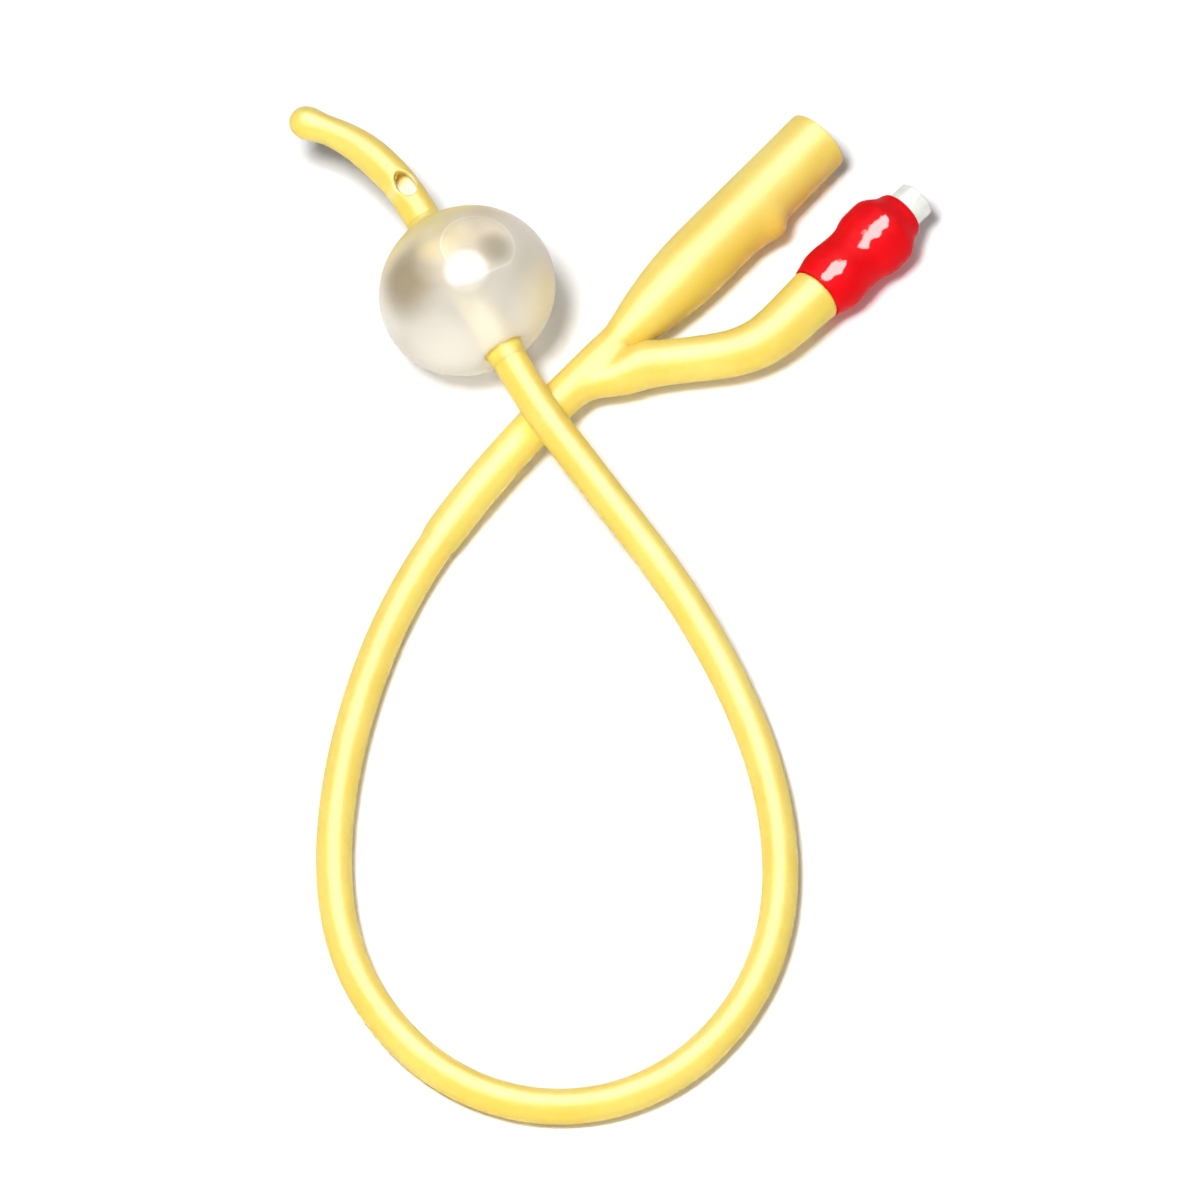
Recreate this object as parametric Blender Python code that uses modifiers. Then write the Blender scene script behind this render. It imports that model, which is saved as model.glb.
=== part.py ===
"""Two-way urinary catheter, balloon filled, lying as it comes to rest on a table.

Frame: +Z up from the table, +X along the drainage funnel and out of its mouth, origin on the
table under the middle of the whole part. Every size below is in metres.
"""
import math

import bmesh
import bpy
import numpy as np
from mathutils import Matrix, Vector

COLLECTION = "foley_catheter"
CUTTER_COLLECTION = "cutters"

# Room that neighbouring pieces keep where the real ones are bonded or pressed together
CLEARANCE = 0.0003

# Shaft: one dipped tube with a wide drainage lumen and a fine filling lumen beside it
SHAFT_DIAMETER = 0.00533
SPIGOT_DIAMETER = 0.0047
SPIGOT_CHAMFER = 0.0004
DRAIN_LUMEN_DIAMETER = 0.0028
DRAIN_LUMEN_OFFSET = 0.00035
FILL_LUMEN_DIAMETER = 0.0007
FILL_LUMEN_OFFSET = 0.00175
TUBE_STEP = 0.0065

# Olive tip and its two drainage eyes, measured back from the very end. The first eye is in the
# top wall and the second in the wall under it, nearer the tip.
OLIVE_DIAMETER = 0.00504
NECK_DIAMETER = 0.0044
NECK_FROM_TIP = 0.0056
TAPER_FROM_TIP = 0.015
TAPER_STEP = 0.0018
TOP_EYE_FROM_TIP = 0.0218
EYE_STAGGER = 0.0052
EYE_LENGTH = 0.0045
EYE_WIDTH = 0.0028
LUMEN_PAST_EYES = 0.003

# Balloon: a thin sleeve bonded to the shaft at both ends and swollen with water
BALLOON_DIAMETER = 0.0267
BALLOON_LENGTH = 0.0247
BALLOON_WALL = 0.00035
BALLOON_CUFF = 0.0009
BALLOON_FROM_TIP = 0.0407
FILL_EYE_DIAMETER = 0.0014

# Y funnel, along the drainage axis
FUNNEL_LENGTH = 0.0525
MOUTH_DIAMETER = 0.01004
BELLY_DIAMETER = 0.0105
BELLY_FROM_MOUTH = 0.028
WAIST_DIAMETER = 0.0056
WAIST_FROM_FORK = 0.0074
FLARE_POWER = 1.8
FLARE_STEP = 0.0036
SHANK_DIAMETER = 0.0060
SHANK_LENGTH = 0.0363
SHANK_STEP = 0.0048
MOUTH_BORE_DIAMETER = 0.0082
THROAT_BORE_DIAMETER = 0.0068
THROAT_FROM_MOUTH = 0.032

# Grip lug on the arm's side of the funnel: steep towards the mouth, a slope behind its crest
LUG_HEIGHT = 0.0014
LUG_CREST_FROM_MOUTH = 0.0152
LUG_STEEP_LENGTH = 0.0019
LUG_SLOPE_LENGTH = 0.0046
LUG_HALFWAY = 0.0020

# Inflation arm, along its own centreline from the fork to the sleeve's edge
ARM_ANGLE = math.radians(42.0)
ARM_CORNER = 0.0251
ARM_BEND_RADIUS = 0.014
ARM_END_RUN = 0.0134
VALVE_ANGLE = math.radians(1.8)
ARM_ROOT_DIAMETER = 0.0078
ARM_ROOT_FROM_FORK = 0.0066
ARM_ROOT_SLANT = 0.0026
ARM_DIAMETER = 0.0068
ARM_WAIST_FROM_FORK = 0.0100
ARM_WAIST_SLANT = 0.0010
ARM_FLARE_FROM_FORK = 0.0180
ARM_END_DIAMETER = 0.0084
ARM_STEP = 0.0035
ARM_LUMEN_DIAMETER = 0.0012
ARM_LUMEN_STEP = 0.003
NOSE_ROOT_DIAMETER = 0.0067
NOSE_BEAD_DIAMETER = 0.0085
NOSE_END_DIAMETER = 0.0078
NOSE_BEAD_LENGTH = 0.0013
NOSE_BEAD_FROM_END = 0.00305

# Valve sleeve, drawn over the arm's nose and the valve
SLEEVE_LENGTH = 0.0188
SLEEVE_WALL = 0.0006
SLEEVE_LIP_WALL = 0.00035
SLEEVE_WAIST_PAST_FLANGE = 0.00035
SLEEVE_WAIST_PAST_BARREL = 0.0010
SLEEVE_NECK_PAST_SHOULDER = 0.0008

# Valve body: port, seat and chamber
PORT_DIAMETER = 0.0060
PORT_PROUD = 0.0033
PORT_RIM_CHAMFER = 0.00025
NECK_OF_PORT_DIAMETER = 0.0056
LUER_MOUTH_DIAMETER = 0.00427
LUER_TAPER = 0.06
LUER_DEPTH = 0.0061
SEAT_THICKNESS = 0.0008
SEAT_HOLE_DIAMETER = 0.0025
CHAMBER_DIAMETER = 0.0058
BARREL_DIAMETER = 0.0080
RING_DIAMETER = 0.0095
RING_LENGTH = 0.0026
RING_FROM_SEAT = 0.0016
SHOULDER_LENGTH = 0.0036

# Valve tail: plug, flange and barbed tube that grips the arm's bore
PLUG_LENGTH = 0.0020
FLANGE_THICKNESS = 0.00075
SPRING_POCKET_DIAMETER = 0.0042
SPRING_POCKET_DEPTH = 0.0017
TAIL_LENGTH = 0.0070
TAIL_DIAMETER = 0.0032
BARB_DIAMETER = 0.0039
BARB_LENGTH = 0.0018
BARB_STEP = 0.0003
BARB_COUNT = 3
TAIL_BORE_DIAMETER = 0.0016

# Valve stem, seal and spring. Pushed in by its full travel, the head stops short of the plug and
# the pilot stops short of the pocket's floor.
STEM_DIAMETER = 0.0018
STEM_BELOW_MOUTH = 0.0038
STEM_GROOVE_WIDTH = 0.0005
STEM_GROOVE_DEPTH = 0.0003
STEM_TRAVEL = 0.0015
STEM_CHAMFER = 0.0002
HEAD_STOP_ROOM = 0.0005
PILOT_STOP_ROOM = 0.0004
HEAD_DIAMETER = 0.0044
HEAD_THICKNESS = 0.0008
SEAL_DIAMETER = 0.0046
SEAL_THICKNESS = 0.0008
SEAL_ROUNDING = 0.0002
SPRING_DIAMETER = 0.0032
SPRING_WIRE = 0.0003
SPRING_TURNS = 4
SPRING_END_RISE = 0.0004

# Lie of the part. The fork is where the arm's axis leaves the funnel's.
FORK_X = 0.0258
FORK_Y = 0.0156
CROSSING_GAP = 0.0003
SHAFT_END_FROM_FORK = 0.0010
SKIVE_FROM_END = 0.0016

# Route of the shaft to the tip: x and y from the fork, and how far it has climbed from the lower
# height of its run to the upper one
SHANK_RUN = (
    (-0.0040, 0.0000, 1.0),
    (-0.0097, 0.0000, 0.97),
    (-0.0223, -0.0002, 0.66),
    (-0.0347, -0.0012, 0.2),
)
LOOP_RUN = (
    (-0.0470, -0.0038, 0.0),
    (-0.0587, -0.0080, 0.0),
    (-0.0700, -0.0135, 0.0),
    (-0.0805, -0.0201, 0.0),
    (-0.0901, -0.0281, 0.0),
    (-0.0979, -0.0379, 0.0),
    (-0.1025, -0.0495, 0.0),
    (-0.1033, -0.0619, 0.0),
    (-0.0993, -0.0736, 0.0),
    (-0.0907, -0.0825, 0.0),
    (-0.0790, -0.0869, 0.0),
    (-0.0666, -0.0867, 0.0),
    (-0.0548, -0.0827, 0.0),
    (-0.0446, -0.0756, 0.0),
    (-0.0360, -0.0665, 0.004),
    (-0.0291, -0.0562, 0.04),
    (-0.0237, -0.0449, 0.19),
    (-0.0198, -0.0330, 0.48),
    (-0.0170, -0.0208, 0.745),
    (-0.0141, -0.0087, 0.91),
    (-0.0117, 0.0000, 1.0),
)
BALLOON_RUN = (
    (-0.0095, 0.0065, 0.51),
    (-0.0050, 0.0188, 1.0),
    (0.0001, 0.0327, 1.52),
    (0.0019, 0.0380, 1.63),
    (0.0028, 0.0429, 1.67),
    (0.0030, 0.0479, 1.66),
    (0.0023, 0.0524, 1.58),
    (0.0012, 0.0562, 1.48),
    (0.0005, 0.0586, 1.43),
)

# Values that follow from the sizes above
SHAFT_R = SHAFT_DIAMETER / 2
SHANK_R = SHANK_DIAMETER / 2
FLOOR_Z = SHAFT_R
FUNNEL_Z = BELLY_DIAMETER / 2
CROSSING_Z = FUNNEL_Z + SHANK_R + CROSSING_GAP + SHAFT_R
BALLOON_Z = BALLOON_DIAMETER / 2
VALVE_Z = RING_DIAMETER / 2 + CLEARANCE + SLEEVE_WALL
WAIST_FROM_MOUTH = FUNNEL_LENGTH - WAIST_FROM_FORK
LIP_FROM_END = SHANK_LENGTH - SHAFT_END_FROM_FORK

PORT_END = SLEEVE_LENGTH + PORT_PROUD
SEAT_TOP = PORT_END - LUER_DEPTH
SEAT_FACE = SEAT_TOP - SEAT_THICKNESS
SEAL_TOP = SEAT_FACE - CLEARANCE
SEAL_FOOT = SEAL_TOP - SEAL_THICKNESS
HEAD_TOP = SEAL_FOOT - CLEARANCE
HEAD_FOOT = HEAD_TOP - HEAD_THICKNESS
PLUG_TOP = HEAD_FOOT - STEM_TRAVEL - HEAD_STOP_ROOM
POCKET_FLOOR = PLUG_TOP - SPRING_POCKET_DEPTH
PILOT_FOOT = POCKET_FLOOR + PILOT_STOP_ROOM + STEM_TRAVEL
BARREL_FOOT = PLUG_TOP - PLUG_LENGTH
FLANGE_TOP = BARREL_FOOT - CLEARANCE
FLANGE_FOOT = FLANGE_TOP - FLANGE_THICKNESS
TAIL_TIP = FLANGE_FOOT - TAIL_LENGTH
NOSE_END = FLANGE_FOOT - CLEARANCE
NOSE_BEAD_END = NOSE_END - NOSE_BEAD_FROM_END
NOSE_BEAD_START = NOSE_BEAD_END - NOSE_BEAD_LENGTH
RING_TOP = SEAT_TOP - RING_FROM_SEAT
RING_FOOT = RING_TOP - RING_LENGTH
SHOULDER_TOP = RING_TOP + SHOULDER_LENGTH

UNDER_EYE_FROM_TIP = TOP_EYE_FROM_TIP - EYE_STAGGER
OLIVE_CAP_ANGLES = [math.radians(angle) for angle in (25.0, 50.0, 75.0)]

# How finely the round forms are faceted, and how far a cut runs past the face it opens
UP = Vector((0.0, 0.0, 1.0))
SHAFT_SIDES = 12
TURNED_STEPS = 24
BALLOON_STEPS = 32
SPRING_STEPS = 10
CAGE_SIDES = 8
CAGE_LEVEL = 1
FORK_RING_PAST_WAIST = 0.0011
FORK_RING_AHEAD = 0.0020
FORK_RING_BEHIND = 0.0025
SHANK_FROM_FORK = 0.0070
LUG_CREST_LIFT = 1.9
LUG_HALFWAY_LIFT = 0.75
SLEEVE_STEP = 0.0010
SMOOTH_ANGLE = math.radians(40.0)
WELD = 0.000001
CUT_PAST = 0.001


def empty_scene():
    for thing in list(bpy.data.objects):
        bpy.data.objects.remove(thing, do_unlink=True)
    for group in list(bpy.data.collections):
        bpy.data.collections.remove(group)


def new_collection(name):
    group = bpy.data.collections.new(name)
    bpy.context.scene.collection.children.link(group)
    return group


def material(name, colour, roughness, metallic=0.0, alpha=1.0):
    made = bpy.data.materials.new(name)
    made.use_nodes = True
    shader = made.node_tree.nodes["Principled BSDF"]
    shader.inputs["Base Color"].default_value = (*colour, 1.0)
    shader.inputs["Roughness"].default_value = roughness
    shader.inputs["Metallic"].default_value = metallic
    shader.inputs["Alpha"].default_value = alpha
    return made


class Route:
    """A smooth curve through chosen points, read by the distance along it."""

    SAMPLES = 4000

    def __init__(self, points):
        places = np.array([tuple(point) for point in points])
        chords = np.linalg.norm(np.diff(places, axis=0), axis=1)
        knots = np.concatenate(([0.0], np.cumsum(chords)))
        bends = self.natural_bends(knots, places)
        self.places = self.read(knots, places, bends, np.linspace(0.0, knots[-1], self.SAMPLES))
        steps = np.linalg.norm(np.diff(self.places, axis=0), axis=1)
        self.distances = np.concatenate(([0.0], np.cumsum(steps)))
        self.length = float(self.distances[-1])

    @staticmethod
    def natural_bends(knots, places):
        """Second derivatives of the natural cubic spline through the places."""
        count = len(knots)
        gaps = np.diff(knots)
        matrix = np.eye(count)
        right = np.zeros_like(places)
        for index in range(1, count - 1):
            before = gaps[index - 1]
            after = gaps[index]
            matrix[index, index - 1:index + 2] = (before, 2.0 * (before + after), after)
            rise = (places[index + 1] - places[index]) / after
            fall = (places[index] - places[index - 1]) / before
            right[index] = 6.0 * (rise - fall)
        return np.linalg.solve(matrix, right)

    @staticmethod
    def read(knots, places, bends, wanted):
        spans = np.clip(np.searchsorted(knots, wanted, side="right") - 1, 0, len(knots) - 2)
        gaps = (knots[spans + 1] - knots[spans])[:, None]
        ahead = (knots[spans + 1] - wanted)[:, None] / gaps
        behind = 1.0 - ahead
        bow = (ahead ** 3 - ahead) * bends[spans] + (behind ** 3 - behind) * bends[spans + 1]
        return ahead * places[spans] + behind * places[spans + 1] + bow * gaps ** 2 / 6.0

    def at(self, distance):
        """Place on the route, which runs on straight past both of its ends."""
        inside = min(max(distance, 0.0), self.length)
        place = [float(np.interp(inside, self.distances, self.places[:, axis])) for axis in range(3)]
        return Vector(place) + self.heading(inside) * (distance - inside)

    def heading(self, distance):
        probe = self.length / self.SAMPLES * 2.0
        low = max(distance - probe, 0.0)
        high = min(distance + probe, self.length)
        ends = [[np.interp(value, self.distances, self.places[:, axis]) for axis in range(3)]
                for value in (low, high)]
        return (Vector(ends[1]) - Vector(ends[0])).normalized()

    def left(self, distance):
        """Level direction to the left of the route, which is the inside of the loop."""
        return UP.cross(self.heading(distance)).normalized()


def shaft_route():
    points = [(FORK_X - SHAFT_END_FROM_FORK, FORK_Y, FUNNEL_Z)]
    runs = ((SHANK_RUN, FLOOR_Z, FUNNEL_Z), (LOOP_RUN, FLOOR_Z, CROSSING_Z),
            (BALLOON_RUN, CROSSING_Z, BALLOON_Z))
    for run, low, high in runs:
        for x, y, climb in run:
            points.append((FORK_X + x, FORK_Y + y, low + climb * (high - low)))
    return Route(points)


def smooth_step(value):
    value = min(max(value, 0.0), 1.0)
    return value * value * (3.0 - 2.0 * value)


def through_stations(stations, place):
    """Radius at a place, easing from each (place, radius) station to the next."""
    if place <= stations[0][0]:
        return stations[0][1]
    for (low, low_r), (high, high_r) in zip(stations, stations[1:]):
        if place <= high:
            return low_r + (high_r - low_r) * smooth_step((place - low) / (high - low))
    return stations[-1][1]


def link(name, data, collection, finish=None):
    thing = bpy.data.objects.new(name, data)
    collection.objects.link(thing)
    if finish is not None:
        data.materials.append(finish)
    return thing


def tube_curve(name, places, radii, sides, collection):
    """A round tube through the places, as a POLY curve with closed ends."""
    curve = bpy.data.curves.new(name, "CURVE")
    curve.dimensions = "3D"
    curve.twist_mode = "Z_UP"
    curve.bevel_depth = 1.0
    curve.bevel_resolution = (sides - 4) // 2
    curve.use_fill_caps = True
    spline = curve.splines.new("POLY")
    spline.points.add(len(places) - 1)
    for point, place, radius in zip(spline.points, places, radii):
        point.co = (*place, 1.0)
        point.radius = radius
    return link(name, curve, collection)


def as_mesh(curve_object, finish=None):
    """The evaluated curve as a mesh object of the same name, with its caps welded on."""
    bpy.context.view_layer.update()
    graph = bpy.context.evaluated_depsgraph_get()
    mesh = bpy.data.meshes.new_from_object(curve_object.evaluated_get(graph))
    shape = bmesh.new()
    shape.from_mesh(mesh)
    bmesh.ops.remove_doubles(shape, verts=shape.verts, dist=WELD)
    bmesh.ops.recalc_face_normals(shape, faces=shape.faces)
    shape.to_mesh(mesh)
    shape.free()
    name = curve_object.name
    collection = curve_object.users_collection[0]
    matrix = curve_object.matrix_world.copy()
    bpy.data.objects.remove(curve_object, do_unlink=True)
    mesh.materials.clear()
    thing = link(name, mesh, collection, finish)
    thing.matrix_world = matrix
    return thing


def tube(name, places, radii, sides, collection, finish=None):
    return as_mesh(tube_curve(name, places, radii, sides, collection), finish)


def turned(name, profile, collection, finish=None, closed=False, steps=TURNED_STEPS):
    """A profile of (radius, height) points, from the top down its outer side, spun about Z."""
    mesh = bpy.data.meshes.new(name)
    corners = [(radius, 0.0, height) for radius, height in profile]
    edges = [(index, index + 1) for index in range(len(corners) - 1)]
    if closed:
        edges.append((len(corners) - 1, 0))
    mesh.from_pydata(corners, edges, [])
    thing = link(name, mesh, collection, finish)
    screw = thing.modifiers.new("turn", "SCREW")
    screw.axis = "Z"
    screw.steps = steps
    screw.render_steps = steps
    screw.use_merge_vertices = True
    screw.merge_threshold = WELD
    return thing


def as_cutter(thing):
    thing.hide_render = True
    thing.display_type = "WIRE"
    return thing


def cut(thing, cutter, operation="DIFFERENCE"):
    as_cutter(cutter)
    boolean = thing.modifiers.new(cutter.name, "BOOLEAN")
    boolean.operation = operation
    boolean.solver = "EXACT"
    boolean.object = cutter


def smooth(thing):
    thing.data.shade_smooth()
    thing.data.set_sharp_from_angle(angle=SMOOTH_ANGLE)


def stations_between(start, end, step):
    count = max(int(round((end - start) / step)), 1)
    return [start + (end - start) * index / count for index in range(count + 1)]


def tip_radius(from_tip):
    """Outer radius behind the round end: the olive, the neck and the taper up to the shaft."""
    olive_r = OLIVE_DIAMETER / 2
    stations = ((olive_r, olive_r), (NECK_FROM_TIP, NECK_DIAMETER / 2), (TAPER_FROM_TIP, SHAFT_R))
    return through_stations(stations, from_tip)


def make_shaft(route, parts, cutters, finish):
    """Tube with two lumens: a slim end for the shank's socket at one end, an olive at the other."""
    olive_r = OLIVE_DIAMETER / 2
    taper_start = route.length - TAPER_FROM_TIP
    olive_centre = route.length - olive_r
    spigot = [(place, SPIGOT_DIAMETER / 2) for place in
              stations_between(0.0, LIP_FROM_END, TUBE_STEP)]
    body = [(place, SHAFT_R) for place in
            stations_between(LIP_FROM_END + SPIGOT_CHAMFER, taper_start, TUBE_STEP)]
    taper = [(place, tip_radius(route.length - place)) for place in
             stations_between(taper_start, olive_centre, TAPER_STEP)[1:]]
    cap = [(olive_centre + olive_r * math.sin(angle), olive_r * math.cos(angle))
           for angle in OLIVE_CAP_ANGLES]
    stations = spigot + body + taper + cap
    places = [route.at(place) for place, radius in stations]
    radii = [radius for place, radius in stations]
    shaft = tube("shaft", places, radii, SHAFT_SIDES, parts, finish)
    cut(shaft, drain_lumen(route, cutters))
    cut(shaft, fill_lumen(route, cutters))
    cut(shaft, drainage_eye("cut_top_eye", route, TOP_EYE_FROM_TIP, 1.0, cutters))
    cut(shaft, drainage_eye("cut_under_eye", route, UNDER_EYE_FROM_TIP, -1.0, cutters))
    cut(shaft, fill_opening("cut_fill_eye", route, route.length - BALLOON_FROM_TIP, cutters))
    cut(shaft, fill_opening("cut_fill_skive", route, SKIVE_FROM_END, cutters))
    smooth(shaft)
    return shaft


def drain_lumen(route, cutters):
    end = route.length - UNDER_EYE_FROM_TIP + LUMEN_PAST_EYES
    stations = [-CUT_PAST] + stations_between(0.0, end, TUBE_STEP)
    places = [route.at(place) - route.left(place) * DRAIN_LUMEN_OFFSET for place in stations]
    return tube("cut_drain_lumen", places, [DRAIN_LUMEN_DIAMETER / 2] * len(places), 8, cutters)


def fill_lumen(route, cutters):
    start = SKIVE_FROM_END - FILL_EYE_DIAMETER / 2
    end = route.length - BALLOON_FROM_TIP + FILL_EYE_DIAMETER / 2
    stations = stations_between(start, end, TUBE_STEP)
    places = [route.at(place) + route.left(place) * FILL_LUMEN_OFFSET for place in stations]
    return tube("cut_fill_lumen", places, [FILL_LUMEN_DIAMETER / 2] * len(places), 6, cutters)


def drainage_eye(name, route, from_tip, side, cutters):
    """A long oval opening through the top wall (side 1) or the one below it (side -1)."""
    place = route.length - from_tip
    heading = route.heading(place)
    across = route.left(place)
    outward = heading.cross(across).normalized() * side
    radius = max(SHAFT_R, tip_radius(from_tip))
    mesh = bpy.data.meshes.new(name)
    shape = bmesh.new()
    bmesh.ops.create_uvsphere(shape, u_segments=16, v_segments=8, radius=1.0)
    sizes = Matrix.Diagonal((EYE_LENGTH / 2, EYE_WIDTH / 2, radius, 1.0))
    turn = Matrix((heading, outward.cross(heading), outward)).transposed().to_4x4()
    centre = route.at(place) + outward * radius
    bmesh.ops.transform(shape, matrix=Matrix.Translation(centre) @ turn @ sizes, verts=shape.verts)
    bmesh.ops.recalc_face_normals(shape, faces=shape.faces)
    shape.to_mesh(mesh)
    shape.free()
    return link(name, mesh, cutters)


def fill_opening(name, route, place, cutters):
    """A small round opening from the side of the shaft into the filling lumen."""
    outward = route.left(place)
    start = route.at(place) + outward * FILL_LUMEN_OFFSET
    end = route.at(place) + outward * (SHAFT_R + CUT_PAST)
    return tube(name, [start, end], [FILL_EYE_DIAMETER / 2] * 2, 8, cutters)


def make_balloon(route, parts, finish):
    """Turned thin shell, open at its two cuffs where the shaft goes through."""
    inner_cuff = SHAFT_R + CLEARANCE
    outer_cuff = inner_cuff + BALLOON_WALL
    half = BALLOON_LENGTH / 2
    outer_r = BALLOON_DIAMETER / 2

    def arc(radius, length, cuff, count):
        stop = math.acos(cuff / radius)
        angles = [stop - 2.0 * stop * index / count for index in range(count + 1)]
        return [(radius * math.cos(angle), length * math.sin(angle)) for angle in angles]

    outside = arc(outer_r, half, outer_cuff, 20)
    inside = arc(outer_r - BALLOON_WALL, half - BALLOON_WALL, inner_cuff, 16)
    cuff_top = outside[0][1] + BALLOON_CUFF
    profile = [(outer_cuff, cuff_top)] + outside + [(outer_cuff, -cuff_top), (inner_cuff, -cuff_top)]
    profile += list(reversed(inside)) + [(inner_cuff, cuff_top)]
    balloon = turned("balloon", profile, parts, finish, closed=True, steps=BALLOON_STEPS)
    place = route.length - BALLOON_FROM_TIP
    turn = route.heading(place).to_track_quat("Z", "Y")
    balloon.matrix_world = Matrix.Translation(route.at(place)) @ turn.to_matrix().to_4x4()
    smooth(balloon)
    return balloon


class Arm:
    """Centreline of the inflation arm: a straight run, one bend and the valve's own line."""

    def __init__(self):
        self.first = Vector((math.cos(ARM_ANGLE), -math.sin(ARM_ANGLE), 0.0))
        self.last = Vector((math.cos(VALVE_ANGLE), -math.sin(VALVE_ANGLE), 0.0))
        self.turn = ARM_ANGLE - VALVE_ANGLE
        tangent = ARM_BEND_RADIUS * math.tan(self.turn / 2)
        self.bend_start = ARM_CORNER - tangent
        self.bend_length = ARM_BEND_RADIUS * self.turn
        self.length = self.bend_start + self.bend_length + ARM_END_RUN - tangent
        self.fork = Vector((FORK_X, FORK_Y, FUNNEL_Z))

    def heading(self, distance):
        share = min(max((distance - self.bend_start) / self.bend_length, 0.0), 1.0)
        angle = ARM_ANGLE - self.turn * share
        return Vector((math.cos(angle), -math.sin(angle), 0.0))

    def at(self, distance):
        run = min(distance, self.bend_start)
        place = self.fork + self.first * run
        if distance > self.bend_start:
            angle = min(distance - self.bend_start, self.bend_length) / ARM_BEND_RADIUS
            left = UP.cross(self.first)
            place += left * ARM_BEND_RADIUS * (1.0 - math.cos(angle))
            place += self.first * ARM_BEND_RADIUS * math.sin(angle)
        if distance > self.bend_start + self.bend_length:
            place += self.last * (distance - self.bend_start - self.bend_length)
        place.z += (VALVE_Z - FUNNEL_Z) * smooth_step(distance / self.length)
        return place

    def joint(self):
        return self.at(self.length)


def funnel_radius(from_mouth):
    mouth_r = MOUTH_DIAMETER / 2
    belly_r = BELLY_DIAMETER / 2
    waist_r = WAIST_DIAMETER / 2
    if from_mouth <= BELLY_FROM_MOUTH:
        return mouth_r + (belly_r - mouth_r) * smooth_step(from_mouth / BELLY_FROM_MOUTH)
    share = (from_mouth - BELLY_FROM_MOUTH) / (WAIST_FROM_MOUTH - BELLY_FROM_MOUTH)
    if share <= 1.0:
        return belly_r - (belly_r - waist_r) * share ** FLARE_POWER
    past = (from_mouth - WAIST_FROM_MOUTH) / (FUNNEL_LENGTH - WAIST_FROM_MOUTH)
    return waist_r + (SHANK_R - waist_r) * smooth_step(past)


class Cage:
    """Rings of corners joined by faces, which a subdivision surface then rounds."""

    GROW = 3.0 / (2.0 + math.cos(2.0 * math.pi / CAGE_SIDES))

    def __init__(self):
        self.shape = bmesh.new()
        self.crease = self.shape.edges.layers.float.new("crease_edge")

    def ring(self, centre, heading, side, radius, slant=0.0, lift=0.0):
        """Corners round the centre, the first towards the side and lifted off the round form;
        slant leans the ring along its heading."""
        above = heading.cross(side).normalized()
        corners = []
        for index in range(CAGE_SIDES):
            angle = 2.0 * math.pi * index / CAGE_SIDES
            grown = radius * self.GROW + (lift if index == 0 else 0.0)
            place = centre + (side * math.cos(angle) + above * math.sin(angle)) * grown
            corners.append(self.shape.verts.new(place + heading * slant * math.cos(angle)))
        return corners

    def join(self, first, second, skip=()):
        for index in range(CAGE_SIDES):
            after = (index + 1) % CAGE_SIDES
            if index not in skip:
                self.shape.faces.new((first[index], first[after], second[after], second[index]))

    def close(self, ring):
        self.shape.faces.new(ring)

    def sharpen(self, ring):
        for index in range(CAGE_SIDES):
            edge = self.shape.edges.get((ring[index], ring[(index + 1) % CAGE_SIDES]))
            edge[self.crease] = 1.0

    def finish(self, name, collection, finish):
        bmesh.ops.recalc_face_normals(self.shape, faces=self.shape.faces)
        mesh = bpy.data.meshes.new(name)
        self.shape.to_mesh(mesh)
        self.shape.free()
        thing = link(name, mesh, collection, finish)
        rounded = thing.modifiers.new("round", "SUBSURF")
        rounded.levels = CAGE_LEVEL
        rounded.render_levels = CAGE_LEVEL
        return thing


def funnel_rings(cage):
    """Rings from the mouth to the fork; the last three open on to the arm."""
    towards_fork = Vector((-1.0, 0.0, 0.0))
    arm_side = Vector((0.0, -1.0, 0.0))
    mouth = Vector((FORK_X + FUNNEL_LENGTH, FORK_Y, FUNNEL_Z))
    crest = LUG_CREST_FROM_MOUTH
    steep_foot = crest - LUG_STEEP_LENGTH
    slope_foot = crest + LUG_SLOPE_LENGTH
    plain = [0.0, steep_foot * 0.4, steep_foot - LUG_STEEP_LENGTH, steep_foot]
    lug = [crest, crest + LUG_HALFWAY, slope_foot, slope_foot + LUG_SLOPE_LENGTH]
    flare = stations_between(BELLY_FROM_MOUTH, WAIST_FROM_MOUTH, FLARE_STEP)
    open_rings = [WAIST_FROM_MOUTH + FORK_RING_PAST_WAIST, FUNNEL_LENGTH - FORK_RING_AHEAD,
                  FUNNEL_LENGTH + FORK_RING_BEHIND]
    places = plain + lug + flare + open_rings
    lifts = {lug[0]: LUG_CREST_LIFT * LUG_HEIGHT, lug[1]: LUG_HALFWAY_LIFT * LUG_HEIGHT}
    rings = []
    for place in places:
        lift = lifts.get(place, 0.0)
        centre = mouth + towards_fork * place
        rings.append(cage.ring(centre, towards_fork, arm_side, funnel_radius(place), lift=lift))
    return rings


def shank_rings(cage, route):
    """Rings from the fork to the lip, along the shaft that the shank holds."""
    rings = []
    for from_fork in stations_between(SHANK_FROM_FORK, SHANK_LENGTH, SHANK_STEP):
        place = from_fork - SHAFT_END_FROM_FORK
        centre = route.at(place)
        heading = route.heading(place)
        rings.append(cage.ring(centre, heading, route.left(place), SHANK_R))
    return rings


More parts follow.
